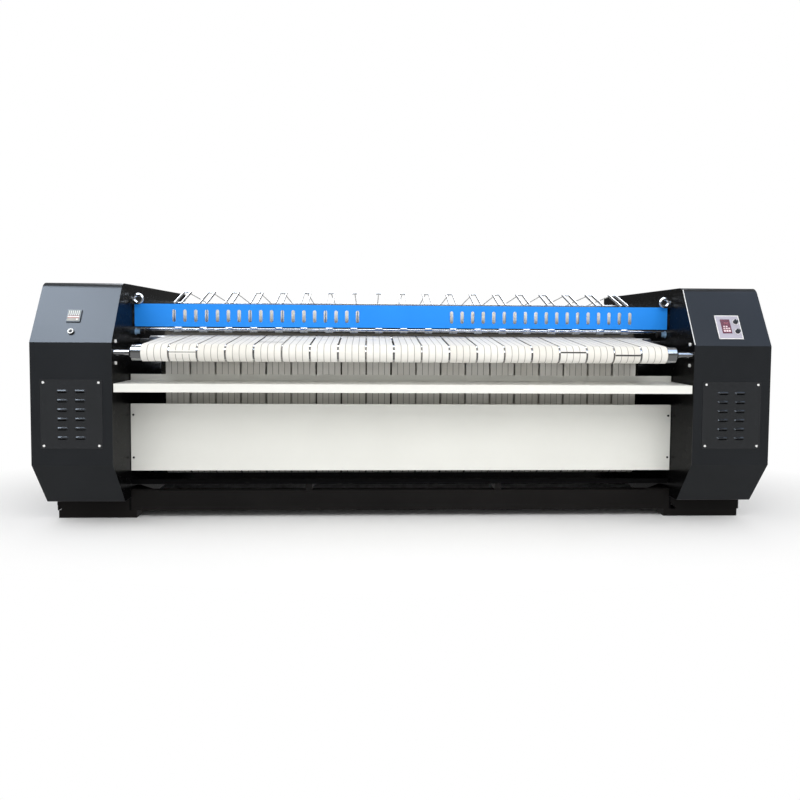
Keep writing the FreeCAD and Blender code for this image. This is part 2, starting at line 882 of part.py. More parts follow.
# The feed roller sits in the cabinet's nose, so its bearing has a plate with two bolts.
def feed_bearing(side, word):
    name = "feed_bearing_" + word
    face = wall + c.sheet
    boss = c.feed_journal + c.bearing_wall / 2
    half = c.feed_bolt_spread + 2 * c.bolt_radius
    body = new_body(name)
    profile = sketch(body, "YZ_Plane", name + "_section")
    near, far = c.feed_y - boss, c.feed_bolt_y + 2 * c.bolt_radius
    tip = c.feed_bolt_y - 2 * c.bolt_radius
    polygon(profile, [(near, feed_height - boss), (tip, feed_height - half), (far, feed_height - half),
                      (far, feed_height + half), (tip, feed_height + half), (near, feed_height + boss)])
    circle(profile, c.feed_y, feed_height, c.feed_journal + c.bore_gap)
    for up in (-1, 1):
        circle(profile, c.feed_bolt_y, feed_height + up * c.feed_bolt_spread, c.bolt_radius)
    pad(body, profile, c.bearing_flange)
    place(body, start_at(side, face, c.bearing_flange), zero_y, 0)
    ring_start = start_at(side, face + c.bearing_flange, c.bearing_boss)
    ring = rod(name + "_ring", boss, c.bearing_boss, ring_start, c.feed_y, feed_height)
    bore = rod(name + "_bore", c.feed_journal + c.bore_gap, c.bearing_boss, ring_start,
               c.feed_y, feed_height)
    return fused(name, [body, cut(name + "_boss", ring, [bore])])


group("feed_roller_bearings", [feed_bearing(side, word) for side, word in sides])
conveyor = []
for name, (y, z, shaft) in zip(("nip", "takeup", "snub"), cross_shafts):
    conveyor += bearing_pair(name + "_bearing", y, z, shaft)
group("conveyor_bearings", conveyor)
group("drum_bearings", bearing_pair("drum_bearing", c.drum_y, c.drum_height, c.drum_journal))
pressure = []
for place_name, degrees in press_places:
    y, z = press_centre(degrees)
    pressure += bearing_pair("pressure_bearing_" + place_name, y, z, c.press_journal)
group("pressure_bearings", pressure)

feed_bolts = []
for side, word in sides:
    for up in (-1, 1):
        name = "feed_bolt_%s_%s" % (word, "upper" if up > 0 else "lower")
        spot = (c.feed_bolt_y, feed_height + up * c.feed_bolt_spread)
        head = rod(name + "_head", c.bolt_head, c.bolt_head_height,
                   start_at(side, wall - c.bolt_head_height, c.bolt_head_height), *spot)
        shank_run = c.sheet + c.bearing_flange
        shank = rod(name + "_shank", c.bolt_radius, shank_run, start_at(side, wall, shank_run), *spot)
        feed_bolts.append(fused(name, [head, shank]))
group("feed_bearing_bolts", feed_bolts)


# ---- tapes and chain: a loop round pulleys, each (y, z, radius, turn); turn -1 is clockwise

def loop(pulleys, shift):
    count = len(pulleys)
    centres = [Vector(0, number(y), number(z)) for y, z, radius, turn in pulleys]
    signed = [turn * (number(radius) - turn * shift) for y, z, radius, turn in pulleys]
    leave, reach = [None] * count, [None] * count
    for i in range(count):
        k = (i + 1) % count
        across = centres[k] - centres[i]
        tilt = math.asin((signed[i] - signed[k]) / across.Length)
        ahead = math.atan2(across.z, across.y) + tilt
        normal = Vector(0, -math.sin(ahead), math.cos(ahead))
        leave[i] = centres[i] - normal * signed[i]
        reach[k] = centres[k] - normal * signed[k]
    edges = []
    for i in range(count):
        turn = pulleys[i][3]
        first, last = reach[i] - centres[i], leave[i] - centres[i]
        start, end = math.atan2(first.z, first.y), math.atan2(last.z, last.y)
        sweep = (turn * (end - start)) % (2 * math.pi)
        half = start + turn * sweep / 2
        middle = centres[i] + Vector(0, math.cos(half), math.sin(half)) * abs(signed[i])
        edges.append(Part.Arc(reach[i], middle, leave[i]).toShape())
        edges.append(Part.LineSegment(leave[i], reach[(i + 1) % count]).toShape())
    return Part.Wire(edges)


def band(pulleys, thickness, width):
    outside = loop(pulleys, thickness)
    inside = loop(pulleys, 0)
    faces = sorted([Part.Face(outside), Part.Face(inside)], key=lambda face: face.Area)
    return faces[1].cut(faces[0]).extrude(Vector(width, 0, 0))


def shaped(name, shape, x, y=0.0, z=0.0):
    made = doc.addObject("Part::Feature", name)
    made.Shape = shape
    place(made, x, as_size(y), z)
    return made


gap = c.tape_gap.value
tape_pulleys = [
    (c.feed_y, feed_height, c.feed_radius.value + gap, -1),
    (c.nip_y, c.nip_height, c.nip_radius.value + gap, -1),
    (c.takeup_y, c.takeup_height, c.takeup_radius.value + gap, -1),
    (c.snub_y, c.snub_height, c.snub_radius.value + gap + c.tape_thickness.value, 1),
]


# `count` copies of a shape along X, `pitch` apart, about the middle.
def row_of(shape, count, pitch, width):
    first = -(count - 1) * pitch / 2 - width / 2
    copies = [shape.translated(Vector(first + k * pitch, 0, 0)) for k in range(count)]
    return Part.makeCompound(copies)


tape_count = int(c.tape_count.value)
tape = band(tape_pulleys, c.tape_thickness.value, tape_width.value)
node("feed_tapes", shaped("feed_tapes", row_of(tape, tape_count, tape_pitch.value, tape_width.value), 0))


# ---- guide shaft, forked guide arms and their stays

node("guide_shaft", rod("guide_shaft", c.shaft_radius, 2 * plate_face, -plate_face,
                        c.shaft_y, c.shaft_height))
node("anchor_bar", rod("anchor_bar", c.anchor_radius, 2 * plate_face, -plate_face,
                       c.anchor_y, anchor_height))

shaft_spot = Vector(0, c.shaft_y.value, c.shaft_height.value)
knee_spot = Vector(0, c.shaft_y.value, c.arm_knee.value)
peak_spot = Vector(0, c.arm_peak_y.value, arm_peak_height.value)
anchor_spot = Vector(0, c.anchor_y.value, anchor_height.value)


def leaf_outline(half):
    rise, lean = knee_spot - shaft_spot, peak_spot - knee_spot
    out_rise = Vector(0, -rise.z, rise.y).normalize()
    out_lean = Vector(0, -lean.z, lean.y).normalize()
    corner = (out_rise + out_lean) / (1 + out_rise.dot(out_lean)) * half
    tip = peak_spot + Vector(lean).normalize() * half
    return [shaft_spot + out_rise * half, knee_spot + corner, tip + out_lean * half,
            tip - out_lean * half, knee_spot - corner, shaft_spot - out_rise * half]


def guide_arm():
    half = c.arm_bar.value / 2
    leaf_points = leaf_outline(half)
    leaf = Part.Face(Part.makePolygon(leaf_points + leaf_points[:1]))
    leaf = leaf.extrude(Vector(c.arm_leaf.value, 0, 0))
    far = leaf.translated(Vector(c.arm_span.value, 0, 0))
    width = c.arm_span.value + c.arm_leaf.value
    hub = Part.makeCylinder(c.arm_hub.value, width, shaft_spot, Vector(1, 0, 0))
    pin = Part.makeCylinder(c.arm_pin.value, width, peak_spot, Vector(1, 0, 0))
    hole = Part.makeCylinder(c.shaft_radius.value, width, shaft_spot, Vector(1, 0, 0))
    return leaf.fuse([far, hub, pin]).cut(hole).removeSplitter()


def stay():
    line = anchor_spot - peak_spot
    ahead = Vector(line).normalize()
    start = peak_spot + ahead * c.arm_pin.value
    run = line.Length - c.arm_pin.value - c.anchor_radius.value
    return Part.makeCylinder(c.stay_radius.value, run, start, ahead)


arm_width = c.arm_span.value + c.arm_leaf.value
node("guide_arms", shaped("guide_arms", row_of(guide_arm(), tape_count, tape_pitch.value, arm_width), 0))
node("guide_stays", shaped("guide_stays", row_of(stay(), tape_count, tape_pitch.value, 0), 0))


# ---- finger guard

def folded_panel(name, face, low, high, turn, thickness, run, start, sign=1):
    back = face + sign * thickness
    lip = face + sign * turn
    outline = [(face, low), (lip, low), (lip, low + thickness), (back, low + thickness),
               (back, high - thickness), (lip, high - thickness), (lip, high), (face, high)]
    return extruded(name, outline, start, run)


guard_run = c.inner_span - 2 * c.guard_end_gap
guard = folded_panel("finger_guard", c.guard_y, c.guard_bottom, c.guard_top, c.guard_flange,
                     c.guard_sheet, guard_run, -guard_run / 2)
ear = sketch(guard, "YZ_Plane", "guard_ear")
rectangle(ear, (c.guard_y, c.guard_pivot_height - c.guard_flange),
          (c.guard_pivot_y + 2 * c.guard_pin, c.guard_top))
circle(ear, c.guard_pivot_y, c.guard_pivot_height, c.guard_pin + c.bore_gap)
ear_pad = pad(guard, ear, c.guard_sheet)
pattern(guard, ear_pad, "N_Axis", guard_run - c.guard_sheet, 2)
slot_half = (c.guard_slot_length - c.guard_slot_width) / 2
slot_step = c.guard_slot_pitch * (c.guard_slot_count - 1)
for offset, word in ((-c.guard_slot_inner - slot_step, "left"), (c.guard_slot_inner, "right")):
    opening = sketch(guard, "XZ_Plane", "guard_slot_" + word)
    spot = guard_run / 2 + offset
    slot(opening, (spot, c.guard_slot_height - slot_half), (spot, c.guard_slot_height + slot_half),
         c.guard_slot_width / 2)
    pattern(guard, pocket(guard, opening), "H_Axis", slot_step, c.guard_slot_count)
node("finger_guard", guard)

pins = []
switches = []
eyes = []
for side, word in sides:
    pin_run = c.plate_thickness + c.guard_end_gap + c.guard_pin_end
    pins.append(rod("guard_pin_" + word, c.guard_pin, pin_run,
                    start_at(side, plate_face - pin_run, pin_run), c.guard_pivot_y, c.guard_pivot_height))
    foot_run = c.guard_sheet
    base = rod("switch_base_" + word, c.switch_base, foot_run,
               start_at(side, wall - foot_run, foot_run), c.switch_y, c.switch_height)
    cap = rod("switch_cap_" + word, c.switch_radius, c.switch_reach,
              start_at(side, wall - c.switch_reach, c.switch_reach), c.switch_y, c.switch_height)
    knob_at = c.switch_reach + c.switch_knob_length
    knob = rod("switch_knob_" + word, c.switch_knob, c.switch_knob_length,
               start_at(side, wall - knob_at, c.switch_knob_length), c.switch_y, c.switch_height)
    switches.append(fused("guard_switch_" + word, [base, cap, knob]))
    ring = doc.addObject("Part::Torus", "eye_ring_" + word)
    bind(ring, "Radius1", c.eye_ring)
    bind(ring, "Radius2", c.eye_wire)
    place(ring, side * (wall - c.eye_reach), c.eye_y, c.eye_height, Rotation(Vector(1, 0, 0), 90))
    neck_run = c.eye_reach - c.eye_ring
    neck = rod("eye_neck_" + word, c.eye_neck, neck_run, start_at(side, wall - neck_run, neck_run),
               c.eye_y, c.eye_height)
    collar = rod("eye_collar_" + word, c.eye_collar, c.eye_collar_height,
                 start_at(side, wall - c.eye_collar_height, c.eye_collar_height), c.eye_y, c.eye_height)
    eyes.append(fused("eyebolt_" + word, [ring, neck, collar]))
group("guard_pivot_pins", pins)
group("guard_switches", switches)
group("eyebolts", eyes)


# ---- shelves and panels between the cabinets

shelf_run = c.inner_span - 2 * c.shelf_end_gap
shelf_under = c.shelf_top - c.shelf_sheet
shelf_low = c.shelf_top - c.shelf_lip
shelf_back = c.shelf_rear - c.shelf_sheet
shelf_inside = c.shelf_front + c.shelf_sheet
shelf_outline = [
    (c.shelf_front, shelf_low), (c.shelf_front, c.shelf_top), (shelf_back, c.shelf_top),
    (shelf_back, c.shelf_top + c.shelf_upstand), (c.shelf_rear, c.shelf_top + c.shelf_upstand),
    (c.shelf_rear, shelf_under), (shelf_inside, shelf_under), (shelf_inside, shelf_low + c.shelf_sheet),
    (shelf_inside + c.panel_return, shelf_low + c.shelf_sheet), (shelf_inside + c.panel_return, shelf_low),
]
node("feed_shelf", extruded("feed_shelf", shelf_outline, -shelf_run / 2, shelf_run))

outlet_under = c.outlet_height - c.shelf_sheet
outlet_front = c.drum_y + c.drum_radius + c.outlet_gap
outlet_outline = [
    (outlet_front, outlet_under), (outlet_front, c.outlet_height), (rear, c.outlet_height),
    (rear, c.outlet_height - c.shelf_lip), (rear - c.shelf_sheet, c.outlet_height - c.shelf_lip),
    (rear - c.shelf_sheet, outlet_under),
]
node("outlet_shelf", extruded("outlet_shelf", outlet_outline, -shelf_run / 2, shelf_run))


# Angle under the end of a shelf: one leg carries the sheet, the other is bolted to the wall.
def bracket(name, side, low_y, high_y, under):
    run = high_y - low_y - 2 * c.bracket_inset
    start_y = low_y + c.bracket_inset
    shelf_leg = block(name + "_shelf_leg", (start_at(side, wall - c.bracket_width, c.bracket_width), start_y,
                                            under - c.bracket_wall), (c.bracket_width, run, c.bracket_wall))
    wall_leg = block(name + "_wall_leg", (start_at(side, wall - c.shelf_end_gap, c.shelf_end_gap), start_y,
                                          under - c.bracket_width), (c.shelf_end_gap, run, c.bracket_width))
    return fused(name, [shelf_leg, wall_leg])


shelf_brackets = []
for side, word in sides:
    shelf_brackets.append(bracket("shelf_bracket_" + word, side, shelf_inside + c.panel_return,
                                  c.shelf_rear, shelf_under))
    shelf_brackets.append(bracket("outlet_bracket_" + word, side, outlet_front,
                                  rear - c.shelf_sheet, outlet_under))
group("shelf_brackets", shelf_brackets)

panel_run = c.inner_span - 2 * c.panel_end_gap
panel_screw_x = panel_run / 2 - c.panel_screw_inset
panel_screw_spots = [(side, z) for side in (left, right) for z in (c.panel_screw_low, c.panel_screw_high)]


# White sheet panel with four screws into angles on the frame plates.
def closing_panel(word, face, sign):
    name = "lower_%s_panel" % word
    body = folded_panel(name, face, c.panel_bottom, c.panel_top, c.panel_return, c.panel_sheet,
                        panel_run, -panel_run / 2, sign)
    holes = sketch(body, "XZ_Plane", name + "_holes")
    for side, z in panel_screw_spots:
        circle(holes, panel_run / 2 + side * panel_screw_x, z, c.screw_radius)
    pocket(body, holes)
    return node(name, body)


def screw(name, x, z, face, sign, grip):
    head_y = face - c.screw_head_height if sign > 0 else as_size(face)
    shank_y = as_size(face) if sign > 0 else face - grip
    head = rod(name + "_head", c.screw_head, c.screw_head_height, x, head_y, z, along_y)
    shank = rod(name + "_shank", c.screw_radius, grip, x, shank_y, z, along_y)
    return fused(name, [head, shank])


def cleat(name, side, face, sign):
    low = c.panel_screw_low - c.cleat_overrun
    rise = c.panel_screw_high + c.cleat_overrun - low
    back = face + sign * c.panel_sheet
    panel_y = back if sign > 0 else back - c.cleat_wall
    wall_y = back if sign > 0 else back - c.cleat_width
    panel_leg = block(name + "_panel_leg", (start_at(side, wall - c.cleat_width, c.cleat_width), panel_y, low),
                      (c.cleat_width, c.cleat_wall, rise))
    wall_leg = block(name + "_wall_leg", (start_at(side, wall - c.cleat_wall, c.cleat_wall), wall_y, low),
                     (c.cleat_wall, c.cleat_width, rise))
    holes = [rod(name + "_hole_%d" % k, c.screw_radius, c.cleat_wall, side * panel_screw_x, panel_y, z, along_y)
             for k, z in enumerate((c.panel_screw_low, c.panel_screw_high))]
    return cut(name, fused(name + "_angle", [panel_leg, wall_leg]), holes)


cleats = []
panel_screws = []
for word, face, sign in (("front", c.seam, 1), ("rear", rear, -1)):
    closing_panel(word, face, sign)
    cleats += [cleat("cleat_%s_%s" % (word, name), side, face, sign) for side, name in sides]
    for k, (side, z) in enumerate(panel_screw_spots):
        panel_screws.append(screw("panel_screw_%s_%d" % (word, k), side * panel_screw_x, z, face, sign,
                                  c.panel_sheet + c.cleat_wall))
group("panel_cleats", cleats)
group("panel_screws", panel_screws)


# ---- louvred access panels

def access_panel(side, word):
    name = "access_panel_" + word
    body = new_body(name)
    face = sketch(body, "XZ_Plane", name + "_face")
    rectangle(face, (0, 0), (c.door_width, c.door_height))
    for x, z in door_screws(c.door_width / 2):
        circle(face, x, z - c.door_middle + c.door_height / 2, c.screw_radius)
    pad(body, face, c.door_sheet)
    low_z = c.louvre_first - c.door_middle + c.door_height / 2
    low_x = c.door_width / 2 - c.louvre_columns / 2
    half = (c.louvre_length - c.louvre_width) / 2
    rows_span = c.louvre_rows * (c.louvre_row_count - 1)
    hood = sketch(body, "XZ_Plane", name + "_louvre")
    slot(hood, (low_x - half, low_z), (low_x + half, low_z), c.louvre_width / 2)
    hood_pad = pad(body, hood, c.louvre_lift)
    bind(hood_pad, "TaperAngle", -c.louvre_taper)
    pattern(body, hood_pad, "H_Axis", c.louvre_columns, 2, "V_Axis", rows_span, c.louvre_row_count)
    slit = sketch(body, "XZ_Plane", name + "_slit")
    slit_low = low_z - c.louvre_width / 2
    rectangle(slit, (low_x - half, slit_low), (low_x + half, slit_low + c.louvre_slit))
    slit_cut = pocket(body, slit, flipped=True)
    pattern(body, slit_cut, "H_Axis", c.louvre_columns, 2, "V_Axis", rows_span, c.louvre_row_count)
    start = start_at(side, wall + c.cabinet_width / 2 - c.door_width / 2, c.door_width)
    place(body, start, zero_y, c.door_middle - c.door_height / 2)
    return node(name, body)


access_screws = []
for side, word in sides:
    access_panel(side, word)
    middle_x = side * (wall + c.cabinet_width / 2)
    for k, (x, z) in enumerate(door_screws(middle_x)):
        access_screws.append(screw("access_screw_%s_%d" % (word, k), x, z, -c.door_sheet, 1,
                                   c.door_sheet + c.sheet))
group("access_screws", access_screws)


# ---- controls on the upper slopes

lean = Rotation(Vector(1, 0, 0), -slope_degrees)
lean_out = lean.multiply(Rotation(Vector(1, 0, 0), 90))


# `rise` runs up the slope from its lower bend, `out` away from its surface.
def on_slope(obj, x, rise, out, rotation):
    y = rise * slope_sin - out * slope_cos
    z = c.front_top + rise * slope_cos + out * slope_sin
    return place(obj, x, y, z, rotation)


def slope_plate(name, x, rise, out, width, height, thickness):
    made = doc.addObject("Part::Box", name)
    for edge, amount in (("Length", width), ("Width", thickness), ("Height", height)):
        bind(made, edge, amount)
    return on_slope(made, x, rise, out + thickness, lean)


def slope_disc(name, x, rise, out, radius, height):
    made = doc.addObject("Part::Cylinder", name)
    bind(made, "Radius", radius)
    bind(made, "Height", height)
    return on_slope(made, x, rise, out, lean_out)


control_x = wall + c.control_offset
node("control_plate", slope_plate("control_plate", control_x - c.control_width / 2, c.control_rise, zero_y,
                                  c.control_width, c.control_height, c.control_sheet))
node("display_window", slope_plate("display_window", control_x + c.display_shift - c.display_width / 2,
                                   c.display_rise, c.control_sheet, c.display_width, c.display_height,
                                   c.control_sheet))


def knob(name, rise):
    x = control_x + c.knob_shift
    out = c.control_sheet + c.knob_gap
    disc = slope_disc(name + "_disc", x, rise, out, c.knob_radius, c.knob_height)
    ridge = slope_plate(name + "_ridge", x - c.knob_ridge / 2, rise - c.knob_ridge_length / 2,
                        out + c.knob_height, c.knob_ridge, c.knob_ridge_length, c.knob_ridge)
    return node(name, fused(name, [disc, ridge]))


knob("speed_knob", c.upper_knob_rise)
knob("selector_knob", c.lower_knob_rise)

meter_x = -outer + c.meter_offset
meter_body = c.meter_side - 2 * c.meter_wall - 2 * c.meter_gap
meter_inset = c.meter_wall + c.meter_gap
bezel = slope_plate("meter_bezel", meter_x - c.meter_side / 2, c.meter_rise, zero_y, c.meter_side,
                    c.meter_side, c.meter_proud)
casing = slope_plate("meter_casing", meter_x - meter_body / 2, c.meter_rise + meter_inset,
                     -c.meter_depth, meter_body, meter_body, c.meter_depth)
node("temperature_controller", fused("temperature_controller", [bezel, casing]))

key_disc = slope_disc("key_disc", meter_x, c.key_rise, zero_y, c.key_radius, c.key_proud)
key_bore = slope_disc("key_bore", meter_x, c.key_rise, zero_y, c.key_rotor + c.bore_gap, c.key_proud)
node("key_switch_bezel", cut("key_switch_bezel", key_disc, [key_bore]))
key_barrel = slope_disc("key_barrel", meter_x, c.key_rise, -c.key_depth, c.key_rotor,
                        c.key_depth + c.key_proud + c.key_rotor_proud)
bow = slope_plate("key_bow", meter_x - c.key_bow / 2, c.key_rise - c.key_bow_width / 2,
                  c.key_proud + c.key_rotor_proud, c.key_bow, c.key_bow_width, c.key_bow)
node("key_switch_rotor", fused("key_switch_rotor", [key_barrel, bow]))


# ---- drive in the left cabinet

def pitch_radius(teeth):
    angle = math.pi / teeth.value
    return Size(c.tooth_pitch.value / (2 * math.sin(angle)),
                "(sizes.tooth_pitch / (2 * sin(180 / %s)))" % teeth.text)


def sprocket(name, teeth, y, z, shaft):
    pitch = pitch_radius(teeth)
    root = pitch - c.tooth_height / 2
    tip = pitch + c.tooth_height / 2
    body = new_body(name)
    disc = sketch(body, "YZ_Plane", name + "_disc")
    circle(disc, 0, 0, root)
    circle(disc, 0, 0, shaft)
    pad(body, disc, c.sprocket_thickness)
    tooth = sketch(body, "YZ_Plane", name + "_tooth")
    foot_half, tip_half = c.tooth_foot / 2, c.tooth_tip / 2
    sunk = root - c.tooth_height / 2
    polygon(tooth, [(-foot_half, sunk), (foot_half, sunk), (tip_half, tip), (-tip_half, tip)])
    first = pad(body, tooth, c.sprocket_thickness)
    ring = body.newObject("PartDesign::PolarPattern", name + "_teeth")
    ring.Originals = [first]
    ring.Axis = (tooth, ["N_Axis"])
    ring.Angle = 360
    bind(ring, "Occurrences", teeth)
    body.Tip = ring
    place(body, -(sprocket_face + c.sprocket_thickness), y, z)
    return node(name, body)


sprocket("drum_sprocket", c.drum_teeth, c.drum_y, c.drum_height, c.drum_journal)
sprocket("drive_sprocket", c.drive_teeth, c.drive_y, c.drive_height, c.drive_shaft)

chain_room = (c.tooth_height / 2 + c.chain_gap).value
chain_pulleys = [(c.drum_y, c.drum_height, pitch_radius(c.drum_teeth).value + chain_room, -1),
                 (c.drive_y, c.drive_height, pitch_radius(c.drive_teeth).value + chain_room, -1)]
chain = band(chain_pulleys, c.chain_thickness.value, c.chain_width.value)
chain_x = -(sprocket_face + c.sprocket_thickness / 2 + c.chain_width / 2)
node("drive_chain", shaped("drive_chain", chain, chain_x))

gearbox_face = sprocket_face + c.sprocket_thickness + c.gearbox_gap
shaft_run = c.sprocket_thickness + c.gearbox_gap + c.gearbox_width / 2
node("drive_shaft", rod("drive_shaft", c.drive_shaft, shaft_run, -(sprocket_face + shaft_run),
                        c.drive_y, c.drive_height))
gearbox = block("gearbox_case", (-(gearbox_face + c.gearbox_width), c.drive_y - c.gearbox_side / 2,
                                 c.drive_height - c.gearbox_side / 2),
                (c.gearbox_width, c.gearbox_side, c.gearbox_side))
gearbox_bore = rod("gearbox_bore", c.drive_shaft + c.bore_gap, c.gearbox_width,
                   -(gearbox_face + c.gearbox_width), c.drive_y, c.drive_height)
motor = rod("motor_case", c.motor_radius, c.motor_length, -(gearbox_face + c.gearbox_width / 2),
            c.drive_y + c.gearbox_side / 2, c.drive_height, along_y)
node("gearmotor", fused("gearmotor", [cut("gearbox", gearbox, [gearbox_bore]), motor]))
shelf_reach = gearbox_face + c.gearbox_width - plate_face
gearbox_foot = c.drive_height - c.gearbox_side / 2
motor_shelf = block("motor_shelf_plate", (-(plate_face + shelf_reach), c.drive_y - c.gearbox_side / 2,
                                          gearbox_foot - c.motor_shelf),
                    (shelf_reach, c.gearbox_side, c.motor_shelf))
motor_leg = block("motor_shelf_leg", (-(plate_face + c.motor_shelf), c.drive_y - c.gearbox_side / 2,
                                      gearbox_foot - shelf_reach / 2),
                  (c.motor_shelf, c.gearbox_side, shelf_reach / 2))
node("motor_bracket", fused("motor_bracket", [motor_shelf, motor_leg]))
node("electrical_box", block("electrical_box", (plate_face, c.electric_y, c.electric_bottom),
                             (c.electric_width, c.electric_depth, c.electric_height)))

# ---- check and write

doc.recompute()
for obj in doc.Objects:
    if "Invalid" in obj.State or "Error" in obj.State:
        raise ValueError("%s failed: %s" % (obj.Name, obj.State))
os.makedirs("parts", exist_ok=True)
for obj in nodes:
    if obj.Shape.isNull() or not obj.Shape.isValid():
        raise ValueError(obj.Label + " has no valid shape")
for obj in nodes:
    obj.Shape.exportStep("parts/%s.step" % obj.Label)
print(len(nodes), "nodes written")
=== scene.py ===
# Flatwork ironer: the looks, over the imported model. Metres, +X to the right, +Y to the rear, +Z up.
import math
import bmesh
import bpy
from mathutils import Matrix, Vector


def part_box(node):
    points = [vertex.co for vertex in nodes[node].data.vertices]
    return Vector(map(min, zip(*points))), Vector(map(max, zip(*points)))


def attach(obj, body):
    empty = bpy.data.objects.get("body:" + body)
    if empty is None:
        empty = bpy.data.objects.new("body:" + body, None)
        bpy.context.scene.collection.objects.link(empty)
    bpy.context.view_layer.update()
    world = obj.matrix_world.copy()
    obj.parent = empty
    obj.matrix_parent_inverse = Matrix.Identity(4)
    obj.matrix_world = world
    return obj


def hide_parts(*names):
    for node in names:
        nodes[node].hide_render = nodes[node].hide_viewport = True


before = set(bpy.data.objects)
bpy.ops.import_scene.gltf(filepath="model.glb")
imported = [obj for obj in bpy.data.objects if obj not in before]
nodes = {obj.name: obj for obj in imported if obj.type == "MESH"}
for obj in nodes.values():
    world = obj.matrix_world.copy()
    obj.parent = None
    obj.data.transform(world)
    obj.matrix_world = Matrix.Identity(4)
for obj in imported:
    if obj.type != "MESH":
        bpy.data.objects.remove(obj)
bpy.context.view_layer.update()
print("model loaded:", len(nodes), "nodes")

mm = 0.001
frontFace = round(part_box("cabinet_wrap_left")[0][1], 4)  # y of the cabinets' front


# A node's middle in mm, to a tenth: x, y from the cabinets' front, z from the floor.
def middleOf(node):
    low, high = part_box(node)
    x, y, z = [(a + b) / 2 for a, b in zip(low, high)]
    return [round(v / mm, 1) for v in (x, y - frontFace, z)]


def leftEdge(node):
    return round(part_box(node)[0][0] / mm, 1)


# ---- materials

# sRGB hex to linear, by the standard curve.
def hexColour(text):
    parts = [int(text[i:i + 2], 16) / 255 for i in (0, 2, 4)]
    return [p / 12.92 if p <= 0.04045 else ((p + 0.055) / 1.055) ** 2.4 for p in parts] + [1]


# Adds a node: inputs are values or sockets to link, by name or number, and the rest are its settings.
def addNode(tree, kind, inputs=None, **settings):
    node = tree.nodes.new(kind)
    for name, value in settings.items():
        setattr(node, name, value)
    for socket, value in (inputs or {}).items():
        if isinstance(value, bpy.types.NodeSocket):
            tree.links.new(value, node.inputs[socket])
        else:
            node.inputs[socket].default_value = value
    return node


def startMaterial(name):
    material = bpy.data.materials.new(name)
    material.use_nodes = True
    tree = material.node_tree
    tree.nodes.clear()
    return material, tree, addNode(tree, "ShaderNodeTexCoord").outputs["Object"]


# Ends a material with its surface, made from these inputs.
def endMaterial(material, inputs):
    tree = material.node_tree
    surface = addNode(tree, "ShaderNodeBsdfPrincipled", inputs)
    addNode(tree, "ShaderNodeOutputMaterial", {"Surface": surface.outputs[0]})
    return material


noiseRange = {"From Min": 0.3, "From Max": 0.7}  # nearly all of a noise's values lie here

# Baked paint on folded sheet steel: one even skin, whose gloss is broken by a faint orange peel and
# whose colour drifts a little from place to place. Real peel is 2 to 3 mm, drawn coarser to show.
paint = {"cloudMm": 420, "uneven": 0.06}


def bakedPaint(name, colour, second, roughness, level, peelMm=9, peelDepth=0.05):
    material, tree, place = startMaterial(name)
    cloud = addNode(tree, "ShaderNodeTexNoise", {"Vector": place, "Scale": 1000 / paint["cloudMm"],
                                                 "Detail": 4})
    drift = addNode(tree, "ShaderNodeMapRange", {"Value": cloud.outputs["Fac"], **noiseRange})
    shade = addNode(tree, "ShaderNodeMix", {"Factor": drift.outputs[0], 6: hexColour(colour),
                                            7: hexColour(second)}, data_type="RGBA")
    peel = addNode(tree, "ShaderNodeTexNoise", {"Vector": place, "Scale": 1000 / peelMm, "Detail": 2})
    gloss = addNode(tree, "ShaderNodeMapRange", {"Value": peel.outputs["Fac"], **noiseRange,
                                                 "To Min": roughness * (1 - paint["uneven"]),
                                                 "To Max": roughness * (1 + paint["uneven"])})
    bump = addNode(tree, "ShaderNodeBump", {"Height": peel.outputs["Fac"], "Distance": peelDepth * mm})
    return endMaterial(material, {"Base Color": shade.outputs[2], "Roughness": gloss.outputs[0],
                                  "Specular IOR Level": level, "Normal": bump.outputs[0]})


# cabinets: a dark blue-grey sheen, and their access panels, which are coated glossier
charcoalPaint = bakedPaint("semiGlossPowderCoat", "1E2022", "222427", 0.3, 0.22)
panelPaint = bakedPaint("glossPowderCoat", "1C1E20", "202225", 0.24, 0.7)
# plates between the cabinets and the rollers: deep black with hardly a reflection
blackEnamel = bakedPaint("blackStoveEnamel", "080808", "0B0B0C", 0.26, 0.05, 14, 0.03)
# feet, beams and brackets: a dull brown-black primer, sprayed thin
framePaint = bakedPaint("satinBlackPrimer", "131110", "191716", 0.5, 0.15, 7, 0.08)
# shelves and panels, and the finger guard: clean, bright enamel
whiteEnamel = bakedPaint("whiteStoveEnamel", "E4E4DE", "E8E8E2", 0.3, 0.4, 11, 0.04)
blueEnamel = bakedPaint("blueStoveEnamel", "2389EC", "288FF0", 0.34, 0.2, 10, 0.04)
# gearmotor, and cast bearing housings with the sand's roughness under the paint
motorEnamel = bakedPaint("hammeredMotorEnamel", "34536B", "3E6079", 0.4, 0.5, 16, 0.5)
housingPaint = bakedPaint("paintedCastIron", "1D2022", "272A2D", 0.55, 0.3, 5, 0.4)

# Turned, ground or plated steel. Fine lines round the axis draw the highlight out along the bar, and
# handling leaves patches that are duller. Real tool marks are under 0.1 mm, so they are drawn coarser.
steel = {"stainMm": 90, "clean": 0.7, "dull": 1.4}


